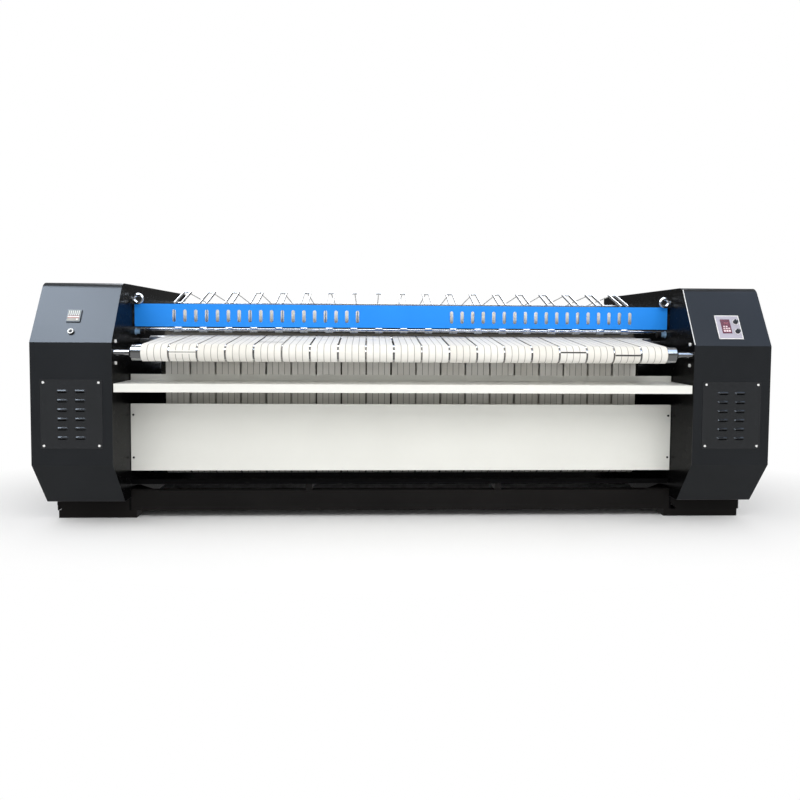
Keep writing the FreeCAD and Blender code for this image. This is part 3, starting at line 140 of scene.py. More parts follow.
def turnedSteel(name, colour, second, roughness, lineMm, stretch, depth=0.02):
    material, tree, place = startMaterial(name)
    drawn = addNode(tree, "ShaderNodeMapping", {"Vector": place, "Scale": stretch})
    lines = addNode(tree, "ShaderNodeTexNoise", {"Vector": drawn.outputs[0], "Scale": 1000 / lineMm,
                                                 "Detail": 2})
    drift = addNode(tree, "ShaderNodeMapRange", {"Value": lines.outputs["Fac"], **noiseRange})
    shade = addNode(tree, "ShaderNodeMix", {"Factor": drift.outputs[0], 6: hexColour(colour),
                                            7: hexColour(second)}, data_type="RGBA")
    stains = addNode(tree, "ShaderNodeTexNoise", {"Vector": place, "Scale": 1000 / steel["stainMm"],
                                                  "Detail": 4})
    gloss = addNode(tree, "ShaderNodeMapRange", {"Value": stains.outputs["Fac"], **noiseRange,
                                                 "To Min": roughness * steel["clean"],
                                                 "To Max": roughness * steel["dull"]})
    bump = addNode(tree, "ShaderNodeBump", {"Height": lines.outputs["Fac"], "Distance": depth * mm})
    return endMaterial(material, {"Base Color": shade.outputs[2], "Metallic": 1.0,
                                  "Roughness": gloss.outputs[0], "Normal": bump.outputs[0]})


polishedChrome = turnedSteel("hardChromePlate", "ABACAD", "BDBEBF", 0.12, 2.5, (6, 1, 1))
groundSteel = turnedSteel("groundSteel", "8C8D8E", "B2B3B4", 0.28, 2.5, (6, 1, 1), 0.04)
drumSteel = turnedSteel("drumSteelPaintedShade", "67645E", "77736C", 0.16, 3, (8, 1, 1))  # darker than bare polished steel: painted shade of the machine's inside
zincPlate = turnedSteel("brightZincPlate", "C2C5C8", "D6D8DA", 0.2, 6, (1, 1, 1), 0.03)
armSteel = turnedSteel("bentZincSteel", "C2C5C8", "D4D7DA", 0.22, 6, (1, 1, 1), 0.03)
coverScrew = turnedSteel("blackenedScrewSteel", "2E2F31", "3A3B3D", 0.35, 2, (1, 1, 1))

# Moulded plastic with a spark-eroded grain, which makes the gloss soft. Real grain is 0.1 mm, drawn
# coarser to show. Prints and foils use it too, and so do small nickelled parts, whose pale matt skin is
# a painted highlight that stands in for the glint of the plated metal.
plastic = {"ior": 1.53, "grainMm": 1.6, "grainDepth": 0.06, "smooth": 0.9, "rough": 1.15}


def mouldedPlastic(name, colour, roughness, grainMm=plastic["grainMm"], level=0.5):
    material, tree, place = startMaterial(name)
    grain = addNode(tree, "ShaderNodeTexNoise", {"Vector": place, "Scale": 1000 / grainMm, "Detail": 2})
    gloss = addNode(tree, "ShaderNodeMapRange", {"Value": grain.outputs["Fac"], **noiseRange,
                                                 "To Min": roughness * plastic["smooth"],
                                                 "To Max": roughness * plastic["rough"]})
    bump = addNode(tree, "ShaderNodeBump", {"Height": grain.outputs["Fac"],
                                            "Distance": plastic["grainDepth"] * mm})
    return endMaterial(material, {"Base Color": hexColour(colour), "Roughness": gloss.outputs[0],
                                  "IOR": plastic["ior"], "Specular IOR Level": level,
                                  "Normal": bump.outputs[0]})


blackAbs = mouldedPlastic("blackAbs", "111113", 0.42)
greyAbs = mouldedPlastic("greyAbs", "7F8582", 0.45, level=0.15)
keyGrey = mouldedPlastic("keyGreyAbs", "A39D94", 0.45, level=0.15)
keyRubber = mouldedPlastic("paleSiliconeKeys", "E3C9CC", 0.5)
redAcrylic = mouldedPlastic("darkRedAcrylic", "5E1C29", 0.1, 40)  # polished, so its waves are long
spliceGap = mouldedPlastic("spliceGap", "3E3C39", 0.8)  # the dark slit where a tape's ends meet
silverFoil = mouldedPlastic("silverPrintedFoil", "ACA8B4", 0.35, 3, 0.25)
inkWhite = mouldedPlastic("whitePadPrint", "E4E4E2", 0.5, level=0.15)
redPrint = mouldedPlastic("redPadPrint", "B04A48", 0.5, level=0.1)
lockBarrel = mouldedPlastic("blackenedLockBarrel", "4A4B4C", 0.5, 2.5, 0.1)
# pale matt nickel: a painted highlight in place of the glint of plated screws and edges
glintNickel = mouldedPlastic("nickelPaintedGlint", "E6E6E4", 0.3)
nickelRim = mouldedPlastic("nickelPlatedRim", "D9D9D7", 0.3, level=0.2)


# Lit display segments behind a red filter: flat pink light with no grain to see.
def litSegment(name, colour, strength):
    material = startMaterial(name)[0]
    return endMaterial(material, {"Base Color": hexColour(colour), "Emission Color": hexColour(colour),
                                  "Emission Strength": strength})


redSegments = litSegment("litRedSegments", "E58A92", 0.35)


# Nylon limit switches: a pale blue moulded body, and a black knob on the end nearer the middle.
# Both are in one node, so the colour changes where the neck is, at neckX on either side.
def switchNylon(name, body, knob, roughness, neckX):
    material, tree, place = startMaterial(name)
    across = addNode(tree, "ShaderNodeSeparateXYZ", {0: place}).outputs["X"]
    fromMiddle = addNode(tree, "ShaderNodeMath", {0: across}, operation="ABSOLUTE")
    outer = addNode(tree, "ShaderNodeMath", {0: fromMiddle.outputs[0], 1: neckX},
                    operation="GREATER_THAN")
    shade = addNode(tree, "ShaderNodeMix", {"Factor": outer.outputs[0], 6: hexColour(knob),
                                            7: hexColour(body)}, data_type="RGBA")
    grain = addNode(tree, "ShaderNodeTexNoise", {"Vector": place, "Detail": 2,
                                                 "Scale": 1000 / plastic["grainMm"]})
    bump = addNode(tree, "ShaderNodeBump", {"Height": grain.outputs["Fac"],
                                            "Distance": plastic["grainDepth"] * mm})
    return endMaterial(material, {"Base Color": shade.outputs[2], "Roughness": roughness,
                                  "IOR": plastic["ior"], "Normal": bump.outputs[0]})


switchPaint = switchNylon("switchNylon", "86A9C8", "0C0C0D", 0.3, neckX=1.6302)

# The tapes of the feed conveyor. Their path goes round four rollers: each has the node that it is
# laid round, the radius to the tape's middle in mm, and the way that the tape turns.
tapes = {"count": 19, "pitch": 0.1579, "width": 0.150, "thickness": 0.003, "edge": 0.0012,
         "edgeSteps": 3, "crease": 25, "drift": 0.002, "seed": 7, "arcSteps": 20,
         "rollers": [("feed_roller", 48.3, -1), ("nip_roller", 33.8, -1), ("takeup_roller", 31.8, -1),
                     ("snub_roller", 31.8, 1)]}

# Woven cotton webbing: dull and slightly hairy, with darker stitched lines along it. Each tape has
# faded by itself. Real threads are under 1 mm and wouldn't show, so the weave is drawn at 5 mm.
webbing = {"laneMm": 37.5, "lineMm": 0.9, "lineEndMm": 2.4, "blotchMm": 170, "fullFade": 0.5,
           "weaveMm": 5, "weaveStretch": (1, 1.6, 1.6), "weaveHeight": 0.3, "depthMm": 0.5,
           "relief": 0.7, "finish": {"Roughness": 0.92, "Specular IOR Level": 0.2,
                                     "Sheen Weight": 0.25, "Sheen Roughness": 0.5},
           "tapesBefore": 100.5}  # so many pitches are added to x that it is positive everywhere


def cottonWebbing(name, light, dark, lineDark):
    material, tree, place = startMaterial(name)
    pitch, lane = tapes["pitch"], webbing["laneMm"] * mm
    across = addNode(tree, "ShaderNodeSeparateXYZ", {0: place}).outputs["X"]
    shifted = addNode(tree, "ShaderNodeMath", {0: across, 1: pitch * webbing["tapesBefore"]},
                      operation="ADD")
    inTape = addNode(tree, "ShaderNodeMath", {0: shifted.outputs[0], 1: pitch}, operation="MODULO")
    fromMiddle = addNode(tree, "ShaderNodeMath", {0: inTape.outputs[0], 1: pitch / 2},
                         operation="SUBTRACT")
    half = addNode(tree, "ShaderNodeMath", {0: fromMiddle.outputs[0], 1: lane / 2}, operation="ADD")
    wrapped = addNode(tree, "ShaderNodeMath", {0: half.outputs[0], 1: lane, 2: 0.0}, operation="WRAP")
    offLine = addNode(tree, "ShaderNodeMath", {0: wrapped.outputs[0], 1: lane / 2},
                      operation="SUBTRACT")
    distance = addNode(tree, "ShaderNodeMath", {0: offLine.outputs[0]}, operation="ABSOLUTE")
    line = addNode(tree, "ShaderNodeMapRange", {"Value": distance.outputs[0],
                                                "From Min": webbing["lineMm"] * mm,
                                                "From Max": webbing["lineEndMm"] * mm})
    whichTape = addNode(tree, "ShaderNodeMath", {0: shifted.outputs[0], 1: pitch}, operation="DIVIDE")
    whole = addNode(tree, "ShaderNodeMath", {0: whichTape.outputs[0]}, operation="FLOOR")
    tone = addNode(tree, "ShaderNodeTexWhiteNoise", {"W": whole.outputs[0]}, noise_dimensions="1D")
    blotch = addNode(tree, "ShaderNodeTexNoise", {"Vector": place, "Scale": 1000 / webbing["blotchMm"],
                                                  "Detail": 4})
    fade = addNode(tree, "ShaderNodeMath", {0: tone.outputs[0], 1: blotch.outputs["Fac"]},
                   operation="MULTIPLY")
    drift = addNode(tree, "ShaderNodeMapRange", {"Value": fade.outputs[0],
                                                 "From Max": webbing["fullFade"]})
    cloth = addNode(tree, "ShaderNodeMix", {"Factor": drift.outputs[0], 6: hexColour(light),
                                            7: hexColour(dark)}, data_type="RGBA")
    stitched = addNode(tree, "ShaderNodeMix", {"Factor": line.outputs[0], 6: hexColour(lineDark),
                                               7: cloth.outputs[2]}, data_type="RGBA")
    ribs = addNode(tree, "ShaderNodeMapping", {"Vector": place, "Scale": webbing["weaveStretch"]})
    weave = addNode(tree, "ShaderNodeTexNoise", {"Vector": ribs.outputs[0], "Detail": 2,
                                                 "Scale": 1000 / webbing["weaveMm"]})
    height = addNode(tree, "ShaderNodeMath", {0: weave.outputs["Fac"], 1: webbing["weaveHeight"],
                                              2: line.outputs[0]}, operation="MULTIPLY_ADD")
    bump = addNode(tree, "ShaderNodeBump", {"Height": height.outputs[0], "Strength": webbing["relief"],
                                            "Distance": webbing["depthMm"] * mm})
    return endMaterial(material, {"Base Color": stitched.outputs[2], "Normal": bump.outputs[0],
                                  **webbing["finish"]})


cottonTape = cottonWebbing("cottonWebbing", "E6E4DE", "DEDBD3", "8C8880")
splicePatch = cottonWebbing("spliceWebbing", "EAE8E2", "E4E2DB", "DAD7CE")

# Needled wool felt: short matted fibres that catch light at the edges, slightly scorched in patches.
# The fibres are drawn 6 mm long, coarse enough to show.
woolPile = {"scorchMm": 240, "fibreMm": 6, "fibreStretch": (1, 2, 2), "depthMm": 1.2, "relief": 0.7,
            "finish": {"Roughness": 0.95, "Specular IOR Level": 0.15, "Sheen Weight": 0.4,
                       "Sheen Roughness": 0.6}}


def woolFelt(name, light, dark):
    material, tree, place = startMaterial(name)
    scorch = addNode(tree, "ShaderNodeTexNoise", {"Vector": place, "Scale": 1000 / woolPile["scorchMm"],
                                                  "Detail": 5})
    drift = addNode(tree, "ShaderNodeMapRange", {"Value": scorch.outputs["Fac"], **noiseRange})
    shade = addNode(tree, "ShaderNodeMix", {"Factor": drift.outputs[0], 6: hexColour(dark),
                                            7: hexColour(light)}, data_type="RGBA")
    combed = addNode(tree, "ShaderNodeMapping", {"Vector": place, "Scale": woolPile["fibreStretch"]})
    fibres = addNode(tree, "ShaderNodeTexNoise", {"Vector": combed.outputs[0], "Detail": 4,
                                                  "Scale": 1000 / woolPile["fibreMm"]})
    bump = addNode(tree, "ShaderNodeBump", {"Height": fibres.outputs["Fac"],
                                            "Strength": woolPile["relief"],
                                            "Distance": woolPile["depthMm"] * mm})
    return endMaterial(material, {"Base Color": shade.outputs[2], "Normal": bump.outputs[0],
                                  **woolPile["finish"]})


felt = woolFelt("woolFelt", "E9E6DD", "DCD7C9")

finishes = [
    (charcoalPaint, ["cabinet_wrap_left", "cabinet_wrap_right", "side_covers", "rear_doors",
                     "electrical_box"]),
    (panelPaint, ["access_panel_left", "access_panel_right"]),
    # the lint tray's black stands in for the deep shade under the machine: painted shade
    (blackEnamel, ["cabinet_cheeks", "frame_plate_left", "frame_plate_right", "lint_tray"]),
    (framePaint, ["plinths", "feet", "cross_beams", "floor_ties", "corner_gussets", "shelf_brackets",
                  "panel_cleats", "motor_bracket"]),
    (whiteEnamel, ["feed_shelf", "outlet_shelf", "lower_front_panel", "lower_rear_panel"]),
    (blueEnamel, ["finger_guard"]),
    (drumSteel, ["heated_drum"]),
    (polishedChrome, ["feed_roller", "key_switch_bezel"]),
    (groundSteel, ["drum_ends", "nip_roller", "takeup_roller", "snub_roller", "anchor_bar",
                   "drum_sprocket", "drive_sprocket", "drive_shaft", "drive_chain"]),
    (housingPaint, ["feed_roller_bearings", "conveyor_bearings", "drum_bearings",
                    "pressure_bearings"]),
    (motorEnamel, ["gearmotor"]),
    (zincPlate, ["guide_shaft", "guard_pivot_pins", "eyebolts", "panel_screws"]),
    (armSteel, ["guide_arms", "guide_stays"]),
    (glintNickel, ["feed_bearing_bolts", "access_screws"]),
    (switchPaint, ["guard_switches"]),
    (silverFoil, ["control_plate"]),
    (redAcrylic, ["display_window"]),
    (blackAbs, ["speed_knob", "selector_knob", "temperature_controller"]),
    (lockBarrel, ["key_switch_rotor"]),
]
for material, names in finishes:
    for name in names:
        for slot in nodes[name].material_slots:
            slot.material = material
print("finishes set on", sum(len(names) for material, names in finishes), "nodes")


# ---- making pieces

def linkObject(name, data):
    made = bpy.data.objects.new(name, data)
    bpy.context.scene.collection.objects.link(made)
    return made


def newPiece(name, mesh, body, *materials):
    for material in materials:
        mesh.materials.append(material)
    piece = linkObject(name, mesh)
    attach(piece, body)
    return piece


# Turns a shape's faces outward and keeps it as a mesh.
def meshFrom(shape, name):
    bmesh.ops.recalc_face_normals(shape, faces=shape.faces)
    mesh = bpy.data.meshes.new(name)
    shape.to_mesh(mesh)
    shape.free()
    return mesh


def shapeOf(corners, faces):
    draft = bpy.data.meshes.new("draft")
    draft.from_pydata([tuple(v) for v in corners], [], faces)
    shape = bmesh.new()
    shape.from_mesh(draft)
    bpy.data.meshes.remove(draft)
    return shape


def joinRings(shape, low, high):
    around = len(low)
    return [shape.faces.new((low[k], low[(k + 1) % around], high[(k + 1) % around], high[k]))
            for k in range(around)]


def newTree(name, inputs):
    tree = bpy.data.node_groups.new(name, "GeometryNodeTree")
    tree.interface.new_socket("Geometry", in_out="INPUT", socket_type="NodeSocketGeometry")
    for label, kind in inputs:
        tree.interface.new_socket(label, in_out="INPUT", socket_type="NodeSocket" + kind)
    tree.interface.new_socket("Geometry", in_out="OUTPUT", socket_type="NodeSocketGeometry")
    return tree, addNode(tree, "NodeGroupInput").outputs


def finishTree(tree, geometry, material):
    real = addNode(tree, "GeometryNodeRealizeInstances", {0: geometry})
    painted = addNode(tree, "GeometryNodeSetMaterial", {"Geometry": real.outputs[0],
                                                        "Material": material})
    addNode(tree, "NodeGroupOutput", {0: painted.outputs[0]})


# Runs the tree once on the source mesh and keeps the plain mesh that it makes.
def bakeTree(name, source, tree, values, body):
    holder = linkObject(name + "Source", source)
    modifier = holder.modifiers.new("build", "NODES")
    modifier.node_group = tree
    for item in tree.interface.items_tree:
        if item.in_out == "INPUT" and item.name in values:
            modifier[item.identifier] = values[item.name]
    bpy.context.view_layer.update()
    ready = holder.evaluated_get(bpy.context.evaluated_depsgraph_get())
    mesh = bpy.data.meshes.new_from_object(ready)
    mesh.name = name
    holder.modifiers.clear()
    bpy.data.objects.remove(holder)
    return newPiece(name, mesh, body)


# ---- feed tapes

# The closed path of a tape in the plane x = 0, made of arcs round the rollers and the straights
# between them. Grow sets it outward from the tape's middle, in mm.
def tapePath(grow, arcSteps):
    centres = [Vector(middleOf(node)[1:]) for node, radius, turn in tapes["rollers"]]
    turns = [turn for node, radius, turn in tapes["rollers"]]
    signed = [turn * (radius - turn * grow) for node, radius, turn in tapes["rollers"]]
    count = len(centres)
    leave, reach = [None] * count, [None] * count
    for i in range(count):
        k = (i + 1) % count
        across = centres[k] - centres[i]
        ahead = math.atan2(across.y, across.x) + math.asin((signed[i] - signed[k]) / across.length)
        normal = Vector((-math.sin(ahead), math.cos(ahead)))
        leave[i] = centres[i] - normal * signed[i]
        reach[k] = centres[k] - normal * signed[k]
    points = []
    for i in range(count):
        first, last = reach[i] - centres[i], leave[i] - centres[i]
        start, end = math.atan2(first.y, first.x), math.atan2(last.y, last.x)
        sweep = (turns[i] * (end - start)) % (2 * math.pi)
        for k in range(arcSteps + 1):
            angle = start + turns[i] * sweep * k / arcSteps
            points.append(centres[i] + Vector((math.cos(angle), math.sin(angle))) * abs(signed[i]))
    return [Vector((0, frontFace + p.x * mm, p.y * mm)) for p in points]


# Sweeps the tape's rounded section along the path and sets a row of them, each a little off its place.
def tapeTree():
    tree, given = newTree("feedTapes", [("Count", "Int"), ("Pitch", "Float"), ("Width", "Float"),
                                        ("Thickness", "Float"), ("Edge", "Float"), ("Drift", "Float"),
                                        ("Seed", "Int")])
    path = addNode(tree, "GeometryNodeMeshToCurve", {"Mesh": given["Geometry"]})
    section = addNode(tree, "GeometryNodeCurvePrimitiveQuadrilateral", {"Width": given["Width"],
                                                                        "Height": given["Thickness"]})
    rounded = addNode(tree, "GeometryNodeFilletCurve", {"Curve": section.outputs[0],
                                                        "Radius": given["Edge"], "Limit Radius": True,
                                                        "Count": tapes["edgeSteps"]}, mode="POLY")
    band = addNode(tree, "GeometryNodeCurveToMesh", {"Curve": path.outputs[0],
                                                     "Profile Curve": rounded.outputs[0]})
    angle = addNode(tree, "GeometryNodeInputMeshEdgeAngle")
    gentle = addNode(tree, "FunctionNodeCompare", {0: angle.outputs[0],
                                                   1: math.radians(tapes["crease"])},
                     operation="LESS_THAN")
    shaded = addNode(tree, "GeometryNodeSetShadeSmooth", {"Geometry": band.outputs[0],
                                                          "Shade Smooth": gentle.outputs[0]},
                     domain="EDGE")
    fromFirst = addNode(tree, "ShaderNodeMath", {0: given["Count"], 1: -0.5, 2: 0.5},
                        operation="MULTIPLY_ADD")  # half of one less than the count, to the left
    first = addNode(tree, "ShaderNodeMath", {0: fromFirst.outputs[0], 1: given["Pitch"]},
                    operation="MULTIPLY")
    begin = addNode(tree, "ShaderNodeCombineXYZ", {"X": first.outputs[0]})
    step = addNode(tree, "ShaderNodeCombineXYZ", {"X": given["Pitch"]})
    spots = addNode(tree, "GeometryNodeMeshLine", {"Count": given["Count"], "Offset": step.outputs[0],
                                                   "Start Location": begin.outputs[0]})
    least = addNode(tree, "ShaderNodeMath", {0: given["Drift"], 1: -1.0}, operation="MULTIPLY")
    drift = addNode(tree, "FunctionNodeRandomValue", {2: least.outputs[0], 3: given["Drift"],
                                                      "Seed": given["Seed"]}, data_type="FLOAT")
    aside = addNode(tree, "ShaderNodeCombineXYZ", {"X": drift.outputs[1]})
    moved = addNode(tree, "GeometryNodeSetPosition", {"Geometry": spots.outputs[0],
                                                      "Offset": aside.outputs[0]})
    row = addNode(tree, "GeometryNodeInstanceOnPoints", {"Points": moved.outputs[0],
                                                         "Instance": shaded.outputs[0]})
    finishTree(tree, row.outputs[0], cottonTape)
    return tree


middle = tapePath(0, tapes["arcSteps"])
pathMesh = bpy.data.meshes.new("tapePath")
pathMesh.from_pydata(middle, [(i, (i + 1) % len(middle)) for i in range(len(middle))], [])
feedTapes = bakeTree("feedTapes", pathMesh, tapeTree(),
                     {"Count": tapes["count"], "Pitch": tapes["pitch"], "Width": tapes["width"],
                      "Thickness": tapes["thickness"], "Edge": tapes["edge"], "Drift": tapes["drift"],
                      "Seed": tapes["seed"]}, "frame")
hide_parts("feed_tapes")
print("feed tapes:", len(feedTapes.data.polygons), "faces", [round(v, 4) for v in feedTapes.dimensions])

# Joints across some tapes. Patches: the tape's number from the middle, then in mm a place near the
# outside of the loop (y from the cabinets' front, z from the floor) and the length along the tape.
splices = {"base": 0.0001, "lift": 0.0005, "width": 0.146, "rows": 6, "arcSteps": 60,
           "patches": [(-8, -21.5, 1022, 22, splicePatch), (-8, -21.6, 1022, 4, spliceGap),
                       (6, -20, 1030, 8, spliceGap), (8, -21.7, 1015, 9, spliceGap),
                       (-5, 118, 1075, 5, spliceGap), (5, 398, 1100, 5, spliceGap)]}
outside = tapePath(tapes["thickness"] / 2 / mm, splices["arcSteps"])
feedNode, feedRadius = tapes["rollers"][0][:2]
feedHub = Vector((0, frontFace + middleOf(feedNode)[1] * mm, middleOf(feedNode)[2] * mm))
feedReach = feedRadius * mm + tapes["thickness"] / 2


# A thin patch that lies on the outside of a tape, and bends with it where it is on the feed roller.
def splice(index, tape, y, z, length, material):
    target = Vector((0, frontFace + y * mm, z * mm))
    count = len(outside)
    near = min(range(count), key=lambda i: (outside[i] - target).length)
    start, end = outside[near], outside[(near + 1) % count]
    if (outside[near - 1] - target).length < (end - target).length:
        start, end = outside[near - 1], outside[near]
    along = (end - start).normalized()
    origin = start + along * (target - start).dot(along)
    onRoller = (near <= splices["arcSteps"] or near == count - 1) and origin.y < feedHub.y
    lift = splices["lift"] * (2 if material is spliceGap else 1)
    corners = []
    for k in range(splices["rows"] + 1):
        reachOut = (k / splices["rows"] - 0.5) * length * mm
        spot = origin + along * reachOut
        outward = Vector((0, -along.z, along.y))
        if onRoller:
            turn = Matrix.Rotation(-reachOut / feedReach, 3, "X")
            spot = feedHub + turn @ (origin - feedHub).normalized() * feedReach
            outward = (spot - feedHub).normalized()
        for side in (-1, 1):
            edge = Vector((tape * tapes["pitch"] + side * splices["width"] / 2, 0, 0))
            corners += [edge + spot + outward * height for height in (splices["base"], lift)]
    faces = []
    for a in range(0, splices["rows"] * 4, 4):  # four corners in each row
        b = a + 4
        faces += [(a + 1, a + 3, b + 3, b + 1), (a, b, b + 2, a + 2), (a, a + 1, b + 1, b),
                  (a + 2, b + 2, b + 3, a + 3)]
    last = splices["rows"] * 4
    faces += [(0, 2, 3, 1), (last, last + 1, last + 3, last + 2)]
    name = "tapeSplice%d" % index
    return newPiece(name, meshFrom(shapeOf(corners, faces), name), "frame", material)


for index, patch in enumerate(splices["patches"]):
    splice(index, *patch)
print("tape splices:", len(splices["patches"]))

# ---- pressure rollers: a steel core with journals, wound with a felt strip whose edge overlaps
pads = {"radius": 0.060, "core": 0.052, "length": 3.080, "journal": 0.022, "full": 3.428,
        "shoulder": 0.004, "strip": 0.120, "lap": 0.0012, "around": 48, "along": 300, "weld": 0.00001}


def paddedRoller(word):
    y, z = middleOf("pressure_roller_" + word)[1:]
    centre = Vector((0, frontFace + y * mm, z * mm))
    shape = bmesh.new()

    def ring(x, radius, wound=False):
        spots = []
        for k in range(pads["around"]):
            angle = 2 * math.pi * k / pads["around"]
            reach = radius
            if wound:
                phase = (x / pads["strip"] + k / pads["around"]) % 1
                reach -= pads["lap"] * (1 - phase)
            spots.append(shape.verts.new(centre + Vector((x, reach * math.cos(angle),
                                                          reach * math.sin(angle)))))
        return spots

    def tube(rings, index):
        for low, high in zip(rings, rings[1:]):
            for face in joinRings(shape, low, high):
                face.material_index = index
                face.smooth = True

    half, full = pads["length"] / 2, pads["full"] / 2
    for side in (-1, 1):
        core = [ring(side * x, r) for x, r in ((half - pads["shoulder"], pads["core"]),
                                               (half, pads["core"]), (half, pads["journal"]),
                                               (full, pads["journal"]))]
        tube(core, 0)
        shape.faces.new(core[-1])
    sleeve = [ring(-half, pads["core"])]
    for k in range(pads["along"] + 1):
        sleeve.append(ring((k / pads["along"] - 0.5) * pads["length"], pads["radius"], wound=True))
    sleeve.append(ring(half, pads["core"]))
    tube(sleeve, 1)
    bmesh.ops.remove_doubles(shape, verts=shape.verts, dist=pads["weld"])
    name = "pressureRoller_" + word
    piece = newPiece(name, meshFrom(shape, name), "pressure_%s_body" % word, groundSteel, felt)
    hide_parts("pressure_roller_" + word)


for word in ("front", "upper", "rear"):
    paddedRoller(word)
print("pressure rollers wound")

# ---- controls on the upper slopes, all in mm
# The slope starts at foot above the floor and rises by climb while it goes back by run.
slope = {"foot": 1072.0, "run": 188, "climb": 344, "around": 40}
lean = math.atan(slope["run"] / slope["climb"])


# A place on the slope: x, rise up the slope from its foot, height off the sheet.
def slopeSpot(x, rise, out):
    y = rise * math.sin(lean) - out * math.cos(lean)
    z = slope["foot"] + rise * math.cos(lean) + out * math.sin(lean)
    return Vector((x * mm, frontFace + y * mm, z * mm))


# A plate with softened edges that lies on the slope: low corner, size, height of its back, thickness.
def slopePlate(name, x, rise, width, height, out, thickness, body, material, soften=0.6):
    corners = []
    for level in (out, out + thickness):
        for a, b in ((x, rise), (x + width, rise), (x + width, rise + height), (x, rise + height)):
            corners.append(slopeSpot(a, b, level))
    shape = shapeOf(corners, [(3, 2, 1, 0), (4, 5, 6, 7), (0, 1, 5, 4), (1, 2, 6, 5), (2, 3, 7, 6),
                              (3, 0, 4, 7)])
    bmesh.ops.bevel(shape, geom=shape.edges, offset=soften * mm, segments=2, affect="EDGES",
                    profile=0.5)
    return newPiece(name, meshFrom(shape, name), body, material)


# A closed ring turned round an axis square to the slope: profile of radius, height, material number.
def slopeRing(name, x, rise, profile, body, *materials):
    shape = bmesh.new()
    angles = [2 * math.pi * k / slope["around"] for k in range(slope["around"])]
    rings = [[shape.verts.new(slopeSpot(x + radius * math.cos(a), rise + radius * math.sin(a), height))
              for a in angles] for radius, height, number in profile]
    for low, high, (radius, height, number) in zip(rings, rings[1:] + rings[:1], profile):
        for face in joinRings(shape, low, high):
            face.material_index = number
    return newPiece(name, meshFrom(shape, name), body, *materials)


# Display: figures and the pale keys under them, placed from the window's low left corner.
panel = {"left": leftEdge("display_window"), "rise": 82.0, "top": 4.0, "keyLift": 0.8, "keyPitch": 14.5,
         "keyRows": [{"rise": 10, "tall": 13, "wide": 11, "first": 8.5, "count": 3},
                     {"rise": 29, "tall": 7, "wide": 11, "first": 8.5, "count": 3},
                     {"rise": 42, "tall": 7, "wide": 10, "first": 10.5, "count": 2}]}
# The readout's widths are parts of its height.
readout = {"text": "1250", "left": 11, "rise": 60, "tall": 11, "wide": 0.55, "bar": 0.12, "step": 1.45}
figures = {"0": "abcdef", "1": "bc", "2": "abdeg", "5": "acdfg"}  # the lit strokes of each figure


def sevenSegments(name, body, material):
    tall = readout["tall"]
    wide, bar, half = tall * readout["wide"], tall * readout["bar"], tall / 2
    strokes = {"a": (0, tall - bar, wide, bar), "g": (0, half - bar / 2, wide, bar),
               "d": (0, 0, wide, bar), "f": (0, half, bar, half), "b": (wide - bar, half, bar, half),
               "e": (0, 0, bar, half), "c": (wide - bar, 0, bar, half)}
    low = panel["rise"] + readout["rise"]
    shape = bmesh.new()
    for index, figure in enumerate(readout["text"]):
        left = panel["left"] + readout["left"] + index * wide * readout["step"]
        for stroke in figures[figure]:
            dx, dy, w, h = strokes[stroke]
            shape.faces.new([shape.verts.new(slopeSpot(left + a, low + b, panel["top"]))
                             for a, b in ((dx, dy), (dx + w, dy), (dx + w, dy + h), (dx, dy + h))])
    # The figures are a sheet without thickness: solidify only gives it a back.
    bmesh.ops.solidify(shape, geom=shape.faces[:], thickness=0)
    return newPiece(name, meshFrom(shape, name), body, material)


sevenSegments("panelReadout", "frame", redSegments)
for row, keys in enumerate(panel["keyRows"]):
    for column in range(keys["count"]):
        slopePlate("panelKey_%d%d" % (row, column),
                   panel["left"] + keys["first"] + column * panel["keyPitch"],
                   panel["rise"] + keys["rise"], keys["wide"], keys["tall"], panel["top"],
                   panel["keyLift"], "frame", keyRubber)

# Temperature controller's face. Parts: x and rise from its low left corner, width, height, then the
# height over the housing and the thickness.
controller = {"left": leftEdge("temperature_controller"), "rise": 129.0, "proud": 8.0, "soften": 0.2,
              "parts": [("Face", 3, 3, 71, 71, 0, 0.6, greyAbs),
                        ("Lower", 6, 6, 65, 17, 0.6, 0.5, keyGrey),
                        ("Stripe", 6, 23.5, 65, 3.0, 0.6, 0.5, redPrint),
                        ("Band", 6, 27, 65, 7.5, 0.6, 0.5, inkWhite),
                        ("Line", 6, 35, 65, 1.6, 0.6, 0.5, redPrint),
                        ("Button", 56, 9, 10, 10, 1.1, 1.2, inkWhite)]}
ribs = {"count": 6, "pitch": 11.0, "first": 8, "rise": 39.0, "width": 4.5, "length": 31.0, "lift": 0.6,
        "thick": 1.4, "soften": 0.5}
for word, x, rise, width, tall, lift, thick, material in controller["parts"]:
    slopePlate("controller" + word, controller["left"] + x, controller["rise"] + rise, width, tall,
               controller["proud"] + lift, thick, "frame", material, controller["soften"])
for rib in range(ribs["count"]):
    slopePlate("controllerRib_%d" % rib, controller["left"] + ribs["first"] + rib * ribs["pitch"],
               controller["rise"] + ribs["rise"], ribs["width"], ribs["length"],
               controller["proud"] + ribs["lift"], ribs["thick"], "frame", inkWhite, ribs["soften"])

# Key switch: a black collar, which stands for the switch's side and partly for its shadow on the plate
# (painted shadow), then a nickelled rim round the barrel.
keySwitch = {"rise": 67.0, "profile": [(15.0, 0.2, 0), (17.0, 2.0, 0), (17.0, 10.5, 1), (15.8, 12.0, 1),
                                       (11.0, 12.0, 1), (8.6, 9.0, 0), (8.6, 0.2, 0)]}
bezel = slopeRing("keySwitchBezel", middleOf("key_switch_bezel")[0], keySwitch["rise"],
                  keySwitch["profile"], "frame", blackAbs, nickelRim)
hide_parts("key_switch_bezel")

